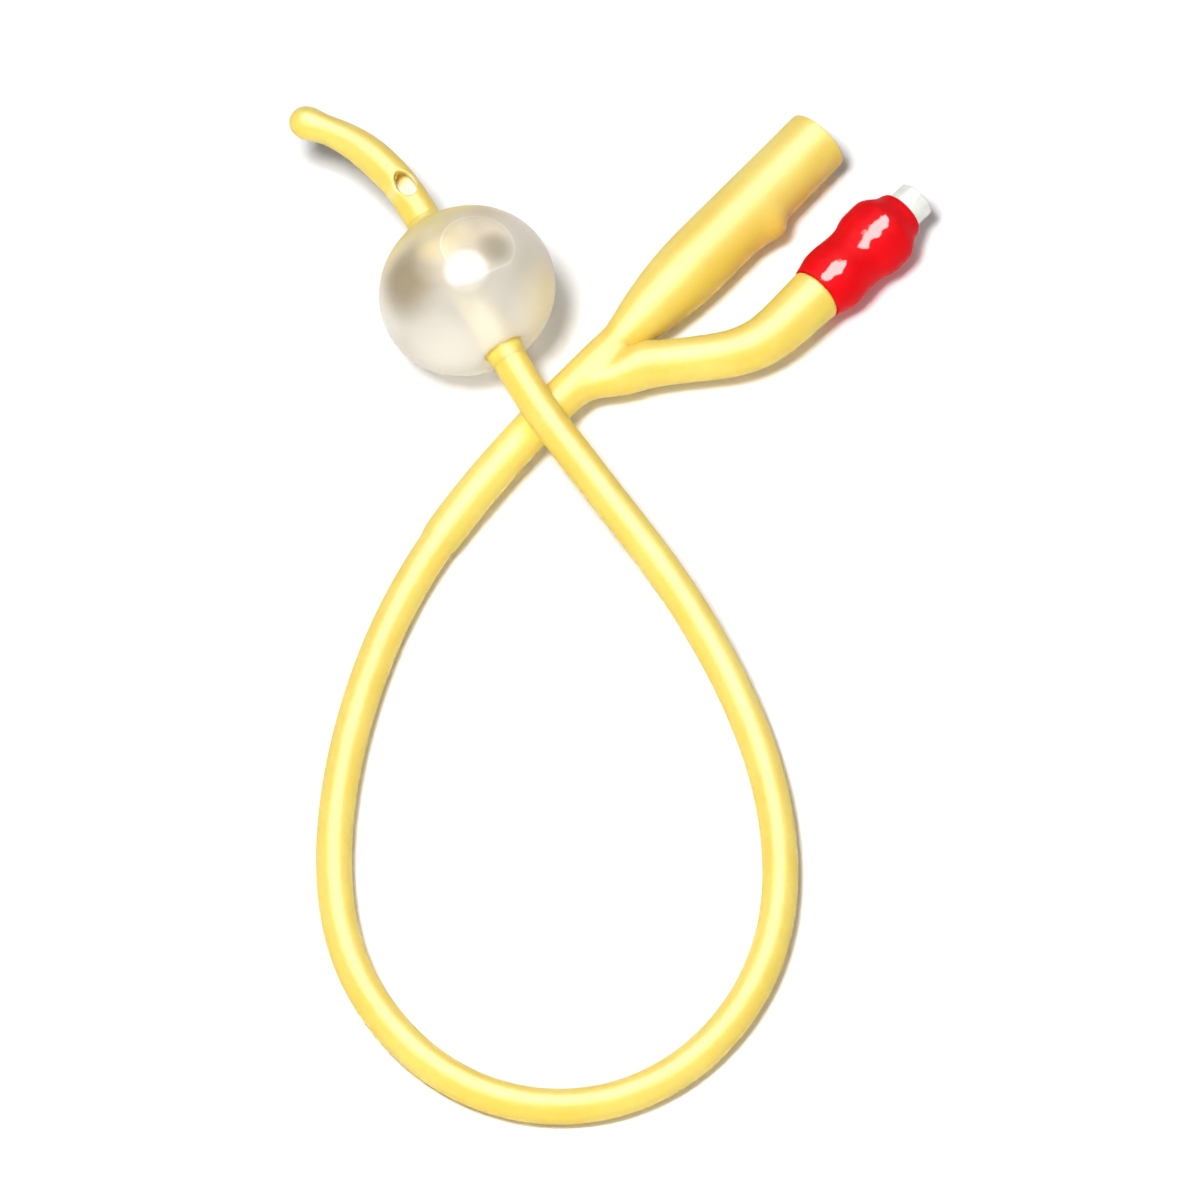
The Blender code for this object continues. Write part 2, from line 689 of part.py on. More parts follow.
def arm_rings(cage, arm):
    """Rings from the root of the arm to its nose, which the valve sleeve covers."""
    arm_r = ARM_DIAMETER / 2
    end_r = ARM_END_DIAMETER / 2
    stations = [(ARM_ROOT_FROM_FORK, ARM_ROOT_DIAMETER / 2, ARM_ROOT_SLANT),
                (ARM_WAIST_FROM_FORK, arm_r, ARM_WAIST_SLANT)]
    for place in stations_between(ARM_WAIST_FROM_FORK + ARM_STEP, arm.length, ARM_STEP)[:-1]:
        flare = max(place - ARM_FLARE_FROM_FORK, 0.0) / (arm.length - ARM_FLARE_FROM_FORK)
        stations.append((place, arm_r + (end_r - arm_r) * flare, 0.0))
    rings = []

    def add(place, radius, slant=0.0):
        heading = arm.heading(place)
        side = UP.cross(heading).normalized()
        rings.append(cage.ring(arm.at(place), heading, side, radius, slant))

    for place, radius, slant in stations:
        add(place, radius, slant)
    add(arm.length, end_r)
    add(arm.length, NOSE_ROOT_DIAMETER / 2)
    sharp = rings[-2:]
    add(arm.length + NOSE_BEAD_START / 2, (NOSE_ROOT_DIAMETER + NOSE_BEAD_DIAMETER) / 4)
    add(arm.length + NOSE_BEAD_START, NOSE_BEAD_DIAMETER / 2)
    add(arm.length + NOSE_BEAD_END, NOSE_BEAD_DIAMETER / 2)
    add(arm.length + NOSE_END, NOSE_END_DIAMETER / 2)
    sharp.append(rings[-1])
    return rings, sharp


def make_y_funnel(route, arm, parts, cutters, finish):
    """Funnel, shank and inflation arm, moulded together as one soft piece."""
    cage = Cage()
    funnel = funnel_rings(cage)
    shank = shank_rings(cage, route)
    arms, sharp = arm_rings(cage, arm)
    last = CAGE_SIDES - 1
    whole = funnel[:-3]
    near, middle, far = funnel[-3:]
    for first, second in zip(whole, whole[1:] + [near]):
        cage.join(first, second)
    cage.join(near, middle, skip=(0, last))
    cage.join(middle, far, skip=(0, last))
    for first, second in zip([far] + shank[:-1], shank):
        cage.join(first, second)
    hole = [near[0], near[1], middle[1], far[1], far[0], far[last], middle[last], near[last]]
    cage.join(hole, arms[0])
    for first, second in zip(arms, arms[1:]):
        cage.join(first, second)
    inside_the_arm = middle[0]
    cage.shape.verts.remove(inside_the_arm)
    for end in (funnel[0], shank[-1], arms[-1]):
        cage.close(end)
    for ring in [funnel[0], shank[-1]] + sharp:
        cage.sharpen(ring)
    y_funnel = cage.finish("y_funnel", parts, finish)
    cut(y_funnel, funnel_bore(cutters))
    cut(y_funnel, shank_socket(route, cutters))
    cut(y_funnel, arm_lumen(route, arm, cutters))
    cut(y_funnel, arm_bore(arm, cutters))
    smooth(y_funnel)
    return y_funnel


def funnel_bore(cutters):
    """Tapered bore from the mouth to the throat, then down to the shaft's own lumen."""
    lumen_r = DRAIN_LUMEN_DIAMETER / 2
    mouth_r = MOUTH_BORE_DIAMETER / 2
    throat_r = THROAT_BORE_DIAMETER / 2
    socket = FUNNEL_LENGTH + SHAFT_END_FROM_FORK
    profile = ((0.0, CUT_PAST), (mouth_r, CUT_PAST), (mouth_r, 0.0), (throat_r, -THROAT_FROM_MOUTH),
               (lumen_r, -WAIST_FROM_MOUTH), (lumen_r, -socket), (0.0, -socket))
    bore = turned("cut_drainage_bore", profile, cutters)
    place = Matrix.Translation((FORK_X + FUNNEL_LENGTH, FORK_Y, FUNNEL_Z))
    bore.matrix_world = place @ Matrix.Rotation(math.pi / 2, 4, "Y")
    return bore


def shank_socket(route, cutters):
    """The bore that holds the spigot of the shaft, open at the lip."""
    stations = [-CLEARANCE] + stations_between(0.0, LIP_FROM_END, TUBE_STEP) + [LIP_FROM_END + CUT_PAST]
    places = [route.at(place) for place in stations]
    radii = [SPIGOT_DIAMETER / 2 + CLEARANCE] * len(places)
    return tube("cut_shank_socket", places, radii, SHAFT_SIDES, cutters)


def arm_lumen(route, arm, cutters):
    """Fine lumen from the valve's bore to the skived side of the shaft."""
    end = arm.length + TAIL_TIP
    places = [route.at(SKIVE_FROM_END) + route.left(SKIVE_FROM_END) * FILL_LUMEN_OFFSET]
    places += [arm.at(place) for place in stations_between(ARM_ROOT_FROM_FORK, end, ARM_LUMEN_STEP)]
    return tube("cut_arm_lumen", places, [ARM_LUMEN_DIAMETER / 2] * len(places), 8, cutters)


def arm_bore(arm, cutters):
    """Bore in the nose of the arm that the valve's barbs grip."""
    places = [arm.at(arm.length + TAIL_TIP - CLEARANCE), arm.at(arm.length + NOSE_END + CUT_PAST)]
    return tube("cut_arm_bore", places, [BARB_DIAMETER / 2 + CLEARANCE] * 2, 16, cutters)


def valve_frame(arm):
    """Empty on the valve's axis: its Z points out of the port from the sleeve's edge."""
    empty = bpy.data.objects.new("valve_axis", None)
    bpy.context.scene.collection.objects.link(empty)
    turn = arm.last.to_track_quat("Z", "Y").to_matrix().to_4x4()
    empty.matrix_world = Matrix.Translation(arm.joint()) @ turn
    return empty


def under_sleeve(place):
    """Radius of what lies under the valve sleeve, eased from piece to piece."""
    stations = (
        (0.0, NOSE_ROOT_DIAMETER / 2),
        (NOSE_BEAD_START, NOSE_BEAD_DIAMETER / 2),
        (NOSE_BEAD_END, NOSE_BEAD_DIAMETER / 2),
        (FLANGE_FOOT + SLEEVE_WAIST_PAST_FLANGE, BARREL_DIAMETER / 2),
        (BARREL_FOOT + SLEEVE_WAIST_PAST_BARREL, BARREL_DIAMETER / 2),
        (RING_FOOT, RING_DIAMETER / 2),
        (RING_TOP, RING_DIAMETER / 2),
        (SHOULDER_TOP + SLEEVE_NECK_PAST_SHOULDER, NECK_OF_PORT_DIAMETER / 2),
    )
    return through_stations(stations, place)


def make_valve_sleeve(parts, finish):
    """Thin sleeve stretched over the nose, the barrel and the neck of the port."""
    places = stations_between(CLEARANCE, SLEEVE_LENGTH, SLEEVE_STEP)
    inside = []
    outside = []
    for place in places:
        inner = under_sleeve(place) + CLEARANCE
        thinning = smooth_step((place - RING_TOP) / (SLEEVE_LENGTH - RING_TOP))
        wall = SLEEVE_WALL + (SLEEVE_LIP_WALL - SLEEVE_WALL) * thinning
        inside.append((inner, place))
        outside.append((inner + wall, place))
    profile = list(reversed(outside)) + inside
    return turned("valve_sleeve", profile, parts, finish, closed=True, steps=24)


def make_valve_body(parts, finish):
    """Port with a tapered syringe socket, the seat, and the chamber behind it."""
    port_r = PORT_DIAMETER / 2
    neck_r = NECK_OF_PORT_DIAMETER / 2
    ring_r = RING_DIAMETER / 2
    barrel_r = BARREL_DIAMETER / 2
    chamber_r = CHAMBER_DIAMETER / 2
    luer_r = LUER_MOUTH_DIAMETER / 2
    luer_foot_r = luer_r - LUER_DEPTH * LUER_TAPER / 2
    hole_r = SEAT_HOLE_DIAMETER / 2
    step = ring_r - barrel_r
    profile = (
        (port_r - PORT_RIM_CHAMFER, PORT_END),
        (port_r, PORT_END - PORT_RIM_CHAMFER),
        (port_r, SLEEVE_LENGTH + CLEARANCE),
        (neck_r, SLEEVE_LENGTH + CLEARANCE),
        (neck_r, SHOULDER_TOP),
        (ring_r, RING_TOP),
        (ring_r, RING_FOOT),
        (barrel_r, RING_FOOT - step),
        (barrel_r, BARREL_FOOT),
        (chamber_r, BARREL_FOOT),
        (chamber_r, SEAT_FACE),
        (hole_r, SEAT_FACE),
        (hole_r, SEAT_TOP),
        (luer_foot_r, SEAT_TOP),
        (luer_r, PORT_END),
    )
    return turned("valve_body", profile, parts, finish, closed=True)


def make_valve_tail(parts, finish):
    """Plug that closes the chamber, its flange, and the barbed tube below."""
    plug_r = CHAMBER_DIAMETER / 2 - CLEARANCE
    flange_r = BARREL_DIAMETER / 2
    tail_r = TAIL_DIAMETER / 2
    barb_r = BARB_DIAMETER / 2
    bore_r = TAIL_BORE_DIAMETER / 2
    pocket_r = SPRING_POCKET_DIAMETER / 2
    profile = [(plug_r, PLUG_TOP), (plug_r, FLANGE_TOP), (flange_r, FLANGE_TOP), (flange_r, FLANGE_FOOT),
               (tail_r, FLANGE_FOOT)]
    for index in reversed(range(BARB_COUNT)):
        foot = TAIL_TIP + index * BARB_LENGTH
        edge = foot + BARB_LENGTH - BARB_STEP
        profile += [(tail_r, edge + BARB_STEP / 2), (barb_r, edge), (tail_r, foot)]
    profile += [(bore_r, TAIL_TIP), (bore_r, POCKET_FLOOR), (pocket_r, POCKET_FLOOR), (pocket_r, PLUG_TOP)]
    return turned("valve_tail", profile, parts, finish, closed=True)


def make_valve_stem(parts, cutters, finish):
    """Push rod with flats for the water, the head that carries the seal, and a spring pilot."""
    stem_r = STEM_DIAMETER / 2
    head_r = HEAD_DIAMETER / 2
    pilot_r = SPRING_DIAMETER / 2 - SPRING_WIRE - CLEARANCE
    top = PORT_END - STEM_BELOW_MOUTH
    profile = (
        (0.0, top),
        (stem_r - STEM_CHAMFER, top),
        (stem_r, top - STEM_CHAMFER),
        (stem_r, HEAD_TOP),
        (head_r, HEAD_TOP),
        (head_r, HEAD_FOOT),
        (pilot_r, HEAD_FOOT),
        (pilot_r, PILOT_FOOT + STEM_CHAMFER),
        (pilot_r - STEM_CHAMFER, PILOT_FOOT),
        (0.0, PILOT_FOOT),
    )
    stem = turned("valve_stem", profile, parts, finish)
    for side in (1.0, -1.0):
        cut(stem, stem_groove(side, top, cutters))
    return stem


def stem_groove(side, top, cutters):
    """Box that cuts the water groove down one side of the push rod, as far as the seal."""
    mesh = bpy.data.meshes.new("cut_stem_groove")
    shape = bmesh.new()
    bmesh.ops.create_cube(shape, size=1.0)
    length = top + CUT_PAST - SEAT_FACE
    size = (STEM_GROOVE_DEPTH * 2.0, STEM_GROOVE_WIDTH, length)
    bmesh.ops.scale(shape, vec=size, verts=shape.verts)
    shift = (STEM_DIAMETER / 2 * side, 0.0, SEAT_FACE + length / 2)
    bmesh.ops.translate(shape, vec=shift, verts=shape.verts)
    shape.to_mesh(mesh)
    shape.free()
    return link("cut_stem_groove", mesh, cutters)


def make_valve_seal(parts, finish):
    """Soft washer on the stem's neck that closes against the seat."""
    hole_r = STEM_DIAMETER / 2 + CLEARANCE
    outer_r = SEAL_DIAMETER / 2
    profile = (
        (outer_r - SEAL_ROUNDING, SEAL_TOP),
        (outer_r, SEAL_TOP - SEAL_ROUNDING),
        (outer_r, SEAL_FOOT + SEAL_ROUNDING),
        (outer_r - SEAL_ROUNDING, SEAL_FOOT),
        (hole_r, SEAL_FOOT),
        (hole_r, SEAL_TOP),
    )
    return turned("valve_seal", profile, parts, finish, closed=True)


def make_valve_spring(parts, finish):
    """Coil between the pocket's floor and the head, with a closed turn at each end."""
    wire_r = SPRING_WIRE / 2
    mean_r = SPRING_DIAMETER / 2 - wire_r
    low = POCKET_FLOOR + CLEARANCE + wire_r
    high = HEAD_FOOT - CLEARANCE - wire_r
    open_rise = (high - low - 2.0 * SPRING_END_RISE) / (SPRING_TURNS - 2)
    places = []
    for index in range(SPRING_TURNS * SPRING_STEPS + 1):
        turns = index / SPRING_STEPS
        if turns <= 1.0:
            height = low + SPRING_END_RISE * turns
        elif turns >= SPRING_TURNS - 1:
            height = high - SPRING_END_RISE * (SPRING_TURNS - turns)
        else:
            height = low + SPRING_END_RISE + open_rise * (turns - 1.0)
        angle = 2.0 * math.pi * turns
        places.append(Vector((mean_r * math.cos(angle), mean_r * math.sin(angle), height)))
    return tube("valve_spring", places, [wire_r] * len(places), 6, parts, finish)


def main():
    empty_scene()
    parts = new_collection(COLLECTION)
    cutters = new_collection(CUTTER_COLLECTION)
    latex = material("latex", (0.92, 0.72, 0.2), 0.35)
    film = material("balloon_film", (0.86, 0.83, 0.74), 0.2, alpha=0.45)
    red = material("red_rubber", (0.8, 0.01, 0.02), 0.2)
    white = material("white_plastic", (0.78, 0.77, 0.7), 0.35)
    seal = material("seal_rubber", (0.03, 0.03, 0.03), 0.6)
    steel = material("steel", (0.6, 0.6, 0.6), 0.25, metallic=1.0)

    route = shaft_route()
    arm = Arm()
    make_shaft(route, parts, cutters, latex)
    make_balloon(route, parts, film)
    make_y_funnel(route, arm, parts, cutters, latex)

    axis = valve_frame(arm)
    fixed = [
        make_valve_sleeve(parts, red),
        make_valve_body(parts, white),
        make_valve_tail(parts, white),
        make_valve_spring(parts, steel),
    ]
    moving = [
        make_valve_stem(parts, cutters, white),
        make_valve_seal(parts, seal),
    ]
    slide = bpy.data.objects.new("stem_slide", None)
    bpy.context.scene.collection.objects.link(slide)
    slide.parent = axis
    for thing in fixed:
        smooth(thing)
        thing.parent = axis
    for thing in moving:
        smooth(thing)
        thing.parent = slide
    for thing in cutters.objects:
        if thing.name.startswith("cut_stem_groove"):
            thing.parent = slide


main()
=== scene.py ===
import math

import bmesh
import bpy
import numpy as np
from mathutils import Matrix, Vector, noise


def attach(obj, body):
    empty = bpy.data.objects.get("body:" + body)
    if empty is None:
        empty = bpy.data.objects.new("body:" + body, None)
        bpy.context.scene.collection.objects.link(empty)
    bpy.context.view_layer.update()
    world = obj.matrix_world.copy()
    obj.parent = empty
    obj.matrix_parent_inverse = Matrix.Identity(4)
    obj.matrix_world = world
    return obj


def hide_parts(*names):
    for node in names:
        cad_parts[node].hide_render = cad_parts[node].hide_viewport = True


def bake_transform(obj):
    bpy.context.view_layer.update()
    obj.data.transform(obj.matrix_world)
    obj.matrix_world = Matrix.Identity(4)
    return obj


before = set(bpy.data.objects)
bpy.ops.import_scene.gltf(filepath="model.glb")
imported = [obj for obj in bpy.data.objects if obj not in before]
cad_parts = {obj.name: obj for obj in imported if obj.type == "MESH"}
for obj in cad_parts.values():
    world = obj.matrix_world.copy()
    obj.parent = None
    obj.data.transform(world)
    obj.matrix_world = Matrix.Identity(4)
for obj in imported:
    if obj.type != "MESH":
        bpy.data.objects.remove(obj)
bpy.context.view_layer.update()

# Looks, studio and camera of a two-way urinary catheter that lies in one loose loop. Everything is
# in metres, in the part's own frame: +Z up from the table, +X along the drainage funnel.

UP = Vector((0.0, 0.0, 1.0))

# Camera: where the photograph looks from, and the spot on the table in the middle of its frame
VIEW_AZIMUTH = math.radians(-49.4)
VIEW_ELEVATION = math.radians(60.0)
VIEW_CENTRE = Vector((-0.00044, -0.00924, 0.0))
VIEW_DISTANCE = 7.0
VIEW_WIDTH = 0.1776

# Shaft
SHAFT_DIAMETER = 0.00533
SPIGOT_DIAMETER = 0.0047
LUMEN_DIAMETER = 0.0028
LUMEN_OFFSET = 0.00035
OLIVE_DIAMETER = 0.00504
NECK_DIAMETER = 0.0044
NECK_FROM_TIP = 0.0056
TAPER_FROM_TIP = 0.015
TOP_EYE_FROM_TIP = 0.0218
UNDER_EYE_FROM_TIP = 0.0166
EYE_LENGTH = 0.0045
EYE_WIDTH = 0.0028
EYE_FOOT_LENGTH = 0.0044
EYE_FOOT_WIDTH = 0.0025
EYE_FLOOR_RISE = 0.0010
LUMEN_END_FROM_TIP = 0.0136
EYES_START_FROM_TIP = 0.0262
EYES_END_FROM_TIP = 0.0108
SHAFT_SIDES = 32
SHAFT_STEP = 0.0023
EYE_STEP = 0.0005
TIP_STEP = 0.0008
CORD_STEP = 0.0015

# Balloon
BALLOON_DIAMETER = 0.0267
BALLOON_LENGTH = 0.0247
BALLOON_WALL = 0.0003
BALLOON_CUFF = 0.0009
BALLOON_FROM_TIP = 0.0407
BALLOON_SIDES = 64
BALLOON_RINGS = 34
BOND_GAP = 0.00002
CUFF_WALL = 0.00022
CUFF_STEP = 0.0005
DIMPLE_DIAMETER = 0.0104
DIMPLE_DEPTH = 0.0006

# Y funnel
FORK = Vector((0.0258, 0.0156, 0.00525))
FUNNEL_LENGTH = 0.0525
MOUTH_DIAMETER = 0.01004
BELLY_DIAMETER = 0.0105
BELLY_FROM_MOUTH = 0.028
WAIST_DIAMETER = 0.0056
WAIST_FROM_FORK = 0.0074
WAIST_FROM_MOUTH = FUNNEL_LENGTH - WAIST_FROM_FORK
FLARE_POWER = 1.8
FLARE_STEP = 0.0036
SHANK_DIAMETER = 0.0060
SHANK_LENGTH = 0.0363
SHANK_STEP = 0.0048
SHANK_FROM_FORK = 0.0070
SHAFT_END_FROM_FORK = 0.0010
MOUTH_BORE_DIAMETER = 0.0082
THROAT_BORE_DIAMETER = 0.0068
THROAT_FROM_MOUTH = 0.032
LUG_HEIGHT = 0.0014
LUG_CREST_FROM_MOUTH = 0.0152
LUG_STEEP_LENGTH = 0.0019
LUG_SLOPE_LENGTH = 0.0046
LUG_HALFWAY = 0.0020
LUG_CREST_LIFT = 1.9
LUG_HALFWAY_LIFT = 0.75
CAGE_SIDES = 8
FORK_RING_PAST_WAIST = 0.0011
FORK_RING_AHEAD = 0.0020
FORK_RING_BEHIND = 0.0025
LIP_TAPER = 0.0022
SOCKET_MOUTH_DEPTH = 0.0016
SOCKET_CLEARANCE = 0.0003
LIP_GAP = 0.00003

# Inflation arm, along its own centreline
ARM_ANGLE = math.radians(42.0)
ARM_CORNER = 0.0251
ARM_BEND_RADIUS = 0.014
ARM_END_RUN = 0.0134
VALVE_ANGLE = math.radians(1.8)
VALVE_HEIGHT = 0.00565
ARM_ROOT_DIAMETER = 0.0078
ARM_ROOT_FROM_FORK = 0.0066
ARM_ROOT_SLANT = 0.0026
KNUCKLE_LIFT = 0.0009
ARM_DIAMETER = 0.0068
ARM_WAIST_FROM_FORK = 0.0100
ARM_WAIST_SLANT = 0.0010
ARM_FLARE_FROM_FORK = 0.0180
ARM_END_DIAMETER = 0.0084
ARM_STEP = 0.0035

# Valve, measured from the sleeve's edge on the arm along the valve's axis
NOSE_ROOT_DIAMETER = 0.0067
NOSE_BEAD_DIAMETER = 0.0085
NOSE_END_DIAMETER = 0.0078
NOSE_BEAD_START = 0.0033
NOSE_BEAD_END = 0.0046
NOSE_END = 0.00765
ARM_BORE_DIAMETER = 0.0045
ARM_BORE_FOOT = 0.00065
SLEEVE_LENGTH = 0.0188
SLEEVE_WALL = 0.0006
SLEEVE_CLEARANCE = 0.0003
SLEEVE_EASE = 0.00015
SLEEVE_START = 0.00004
SLEEVE_STEP = 0.0005
SLEEVE_DENT = 0.00006
SLEEVE_FADE = 0.0015
SLEEVE_LIP_DIAMETER = 0.0072
WAIST_START = 0.0072
WAIST_END = 0.0087
BARREL_DIAMETER = 0.0080
BARREL_FOOT = 0.0090
RING_DIAMETER = 0.0095
RING_FOOT = 0.0118
RING_TOP = 0.0144
SHOULDER_TOP = 0.0180
SHOULDER_DIAMETER = 0.0060
PORT_DIAMETER = 0.0060
PORT_END = 0.0221
PORT_NECK_DIAMETER = 0.0056
CHAMBER_DIAMETER = 0.0058
SEAT_FACE = 0.0152
SEAT_TOP = 0.0160
SEAT_HOLE_DIAMETER = 0.0025
LUER_MOUTH_DIAMETER = 0.00427
LUER_FOOT_DIAMETER = 0.003904
SPRING_DIAMETER = 0.0032
SPRING_WIRE = 0.0003
SPRING_TURNS = 4
SPRING_END_RISE = 0.0004
SPRING_FOOT = 0.00975
SPRING_TOP = 0.01255
SPRING_GIVE = 0.0005

# Route of the shaft: x and y from the fork, and how far it has climbed from the lower height of its
# run to the upper one
FLOOR_Z = SHAFT_DIAMETER / 2
CROSSING_Z = 0.011215
BALLOON_Z = BALLOON_DIAMETER / 2
SHANK_RUN = (
    (-0.0040, 0.0000, 1.0),
    (-0.0097, 0.0000, 0.97),
    (-0.0223, -0.0002, 0.66),
    (-0.0347, -0.0012, 0.2),
)
LOOP_RUN = (
    (-0.0470, -0.0038, 0.0),
    (-0.0587, -0.0080, 0.0),
    (-0.0700, -0.0135, 0.0),
    (-0.0805, -0.0201, 0.0),
    (-0.0901, -0.0281, 0.0),
    (-0.0979, -0.0379, 0.0),
    (-0.1025, -0.0495, 0.0),
    (-0.1033, -0.0619, 0.0),
    (-0.0993, -0.0736, 0.0),
    (-0.0907, -0.0825, 0.0),
    (-0.0790, -0.0869, 0.0),
    (-0.0666, -0.0867, 0.0),
    (-0.0548, -0.0827, 0.0),
    (-0.0446, -0.0756, 0.0),
    (-0.0360, -0.0665, 0.004),
    (-0.0291, -0.0562, 0.04),
    (-0.0237, -0.0449, 0.19),
    (-0.0198, -0.0330, 0.48),
    (-0.0170, -0.0208, 0.745),
    (-0.0141, -0.0087, 0.91),
    (-0.0117, 0.0000, 1.0),
)
BALLOON_RUN = (
    (-0.0095, 0.0065, 0.51),
    (-0.0050, 0.0188, 1.0),
    (0.0001, 0.0327, 1.52),
    (0.0019, 0.0380, 1.63),
    (0.0028, 0.0429, 1.67),
    (0.0030, 0.0479, 1.66),
    (0.0023, 0.0524, 1.58),
    (0.0012, 0.0562, 1.48),
    (0.0005, 0.0586, 1.43),
)


class Line:
    """A centreline that rings are set square to."""

    def left(self, distance):
        return UP.cross(self.heading(distance)).normalized()

    def ring(self, distance, radius, sides, slant=0.0):
        heading = self.heading(distance)
        return ring(self.at(distance), heading, self.left(distance), radius, sides, slant)


class Route(Line):
    """A smooth curve through chosen points, read by the distance along it."""

    SAMPLES = 4000

    def __init__(self, points):
        places = np.array(points)
        chords = np.linalg.norm(np.diff(places, axis=0), axis=1)
        knots = np.concatenate(([0.0], np.cumsum(chords)))
        bends = self.natural_bends(knots, places)
        self.places = self.read(knots, places, bends, np.linspace(0.0, knots[-1], self.SAMPLES))
        steps = np.linalg.norm(np.diff(self.places, axis=0), axis=1)
        self.distances = np.concatenate(([0.0], np.cumsum(steps)))
        self.length = float(self.distances[-1])

    @staticmethod
    def natural_bends(knots, places):
        count = len(knots)
        gaps = np.diff(knots)
        matrix = np.eye(count)
        right = np.zeros_like(places)
        for index in range(1, count - 1):
            before = gaps[index - 1]
            after = gaps[index]
            matrix[index, index - 1:index + 2] = (before, 2.0 * (before + after), after)
            rise = (places[index + 1] - places[index]) / after
            fall = (places[index] - places[index - 1]) / before
            right[index] = 6.0 * (rise - fall)
        return np.linalg.solve(matrix, right)

    @staticmethod
    def read(knots, places, bends, wanted):
        spans = np.clip(np.searchsorted(knots, wanted, side="right") - 1, 0, len(knots) - 2)
        gaps = (knots[spans + 1] - knots[spans])[:, None]
        ahead = (knots[spans + 1] - wanted)[:, None] / gaps
        behind = 1.0 - ahead
        bow = (ahead ** 3 - ahead) * bends[spans] + (behind ** 3 - behind) * bends[spans + 1]
        return ahead * places[spans] + behind * places[spans + 1] + bow * gaps ** 2 / 6.0

    def spot(self, distance):
        return Vector([float(np.interp(distance, self.distances, self.places[:, axis]))
                       for axis in range(3)])

    def at(self, distance):
        """Place on the route, which runs on straight past both of its ends."""
        inside = min(max(distance, 0.0), self.length)
        return self.spot(inside) + self.heading(inside) * (distance - inside)

    def heading(self, distance):
        probe = self.length / self.SAMPLES * 2.0
        low = min(max(distance - probe, 0.0), self.length)
        high = max(min(distance + probe, self.length), 0.0)
        return (self.spot(high) - self.spot(low)).normalized()


class Arm(Line):
    """Centreline of the inflation arm: a straight run, one bend and the valve's own line."""

    def __init__(self):
        self.first = Vector((math.cos(ARM_ANGLE), -math.sin(ARM_ANGLE), 0.0))
        self.last = Vector((math.cos(VALVE_ANGLE), -math.sin(VALVE_ANGLE), 0.0))
        self.turn = ARM_ANGLE - VALVE_ANGLE
        tangent = ARM_BEND_RADIUS * math.tan(self.turn / 2)
        self.bend_start = ARM_CORNER - tangent
        self.bend_length = ARM_BEND_RADIUS * self.turn
        self.length = self.bend_start + self.bend_length + ARM_END_RUN - tangent

    def heading(self, distance):
        share = min(max((distance - self.bend_start) / self.bend_length, 0.0), 1.0)
        angle = ARM_ANGLE - self.turn * share
        return Vector((math.cos(angle), -math.sin(angle), 0.0))

    def at(self, distance):
        run = min(distance, self.bend_start)
        place = FORK + self.first * run
        if distance > self.bend_start:
            angle = min(distance - self.bend_start, self.bend_length) / ARM_BEND_RADIUS
            left = UP.cross(self.first)
            place += left * ARM_BEND_RADIUS * (1.0 - math.cos(angle))
            place += self.first * ARM_BEND_RADIUS * math.sin(angle)
        if distance > self.bend_start + self.bend_length:
            place += self.last * (distance - self.bend_start - self.bend_length)
        place.z += (VALVE_HEIGHT - FORK.z) * smooth_step(distance / self.length)
        return place


def smooth_step(value):
    value = min(max(value, 0.0), 1.0)
    return value * value * (3.0 - 2.0 * value)


def through_stations(stations, place):
    """Radius at a place, easing from each (place, radius) station to the next."""
    if place <= stations[0][0]:
        return stations[0][1]
    for (low, low_r), (high, high_r) in zip(stations, stations[1:]):
        if place <= high:
            return low_r + (high_r - low_r) * smooth_step((place - low) / (high - low))
    return stations[-1][1]


def evenly(start, end, step):
    """Places from start to end, about a step apart."""
    count = max(int(round(abs(end - start) / step)), 1)
    return [start + (end - start) * index / count for index in range(count + 1)]


def shaft_route():
    points = [(FORK.x - SHAFT_END_FROM_FORK, FORK.y, FORK.z)]
    runs = ((SHANK_RUN, FLOOR_Z, FORK.z), (LOOP_RUN, FLOOR_Z, CROSSING_Z),
            (BALLOON_RUN, CROSSING_Z, BALLOON_Z))
    for run, low, high in runs:
        for x, y, climb in run:
            points.append((FORK.x + x, FORK.y + y, low + climb * (high - low)))
    return Route(points)


def set_camera():
    back = Vector((math.sin(VIEW_AZIMUTH) * math.cos(VIEW_ELEVATION),
                   -math.cos(VIEW_AZIMUTH) * math.cos(VIEW_ELEVATION),
                   math.sin(VIEW_ELEVATION)))
    lens = bpy.data.cameras.new("camera")
    lens.lens = lens.sensor_width * VIEW_DISTANCE / VIEW_WIDTH
    lens.clip_start = VIEW_DISTANCE / 20
    lens.clip_end = VIEW_DISTANCE * 20
    camera = bpy.data.objects.new("camera", lens)
    bpy.context.scene.collection.objects.link(camera)
    camera.location = VIEW_CENTRE + back * VIEW_DISTANCE
    camera.rotation_mode = "QUATERNION"
    camera.rotation_quaternion = (-back).to_track_quat("-Z", "Y")
    bpy.context.scene.camera = camera


class Wire:
    """A value in a material. Sums of values add Math nodes."""

    def __init__(self, finish, socket):
        self.finish = finish
        self.socket = socket

    def maths(self, operation, first, second, clamp=False):
        settings = {"operation": operation, "use_clamp": clamp}
        return self.finish.node("ShaderNodeMath", settings, {0: first, 1: second})

    def __add__(self, other):
        return self.maths("ADD", self, other)

    __radd__ = __add__

    def __sub__(self, other):
        return self.maths("SUBTRACT", self, other)

    def __rsub__(self, other):
        return self.maths("SUBTRACT", other, self)

    def __mul__(self, other):
        return self.maths("MULTIPLY", self, other)

    __rmul__ = __mul__

    def held(self):
        """The value kept between 0 and 1."""
        return self.maths("ADD", self, 0.0, clamp=True)

    def between(self, low, high):
        """0 up to low, 1 from high, and a soft step between them."""
        settings = {"interpolation_type": "SMOOTHSTEP"}
        return self.finish.node("ShaderNodeMapRange", settings, {0: self, 1: low, 2: high})


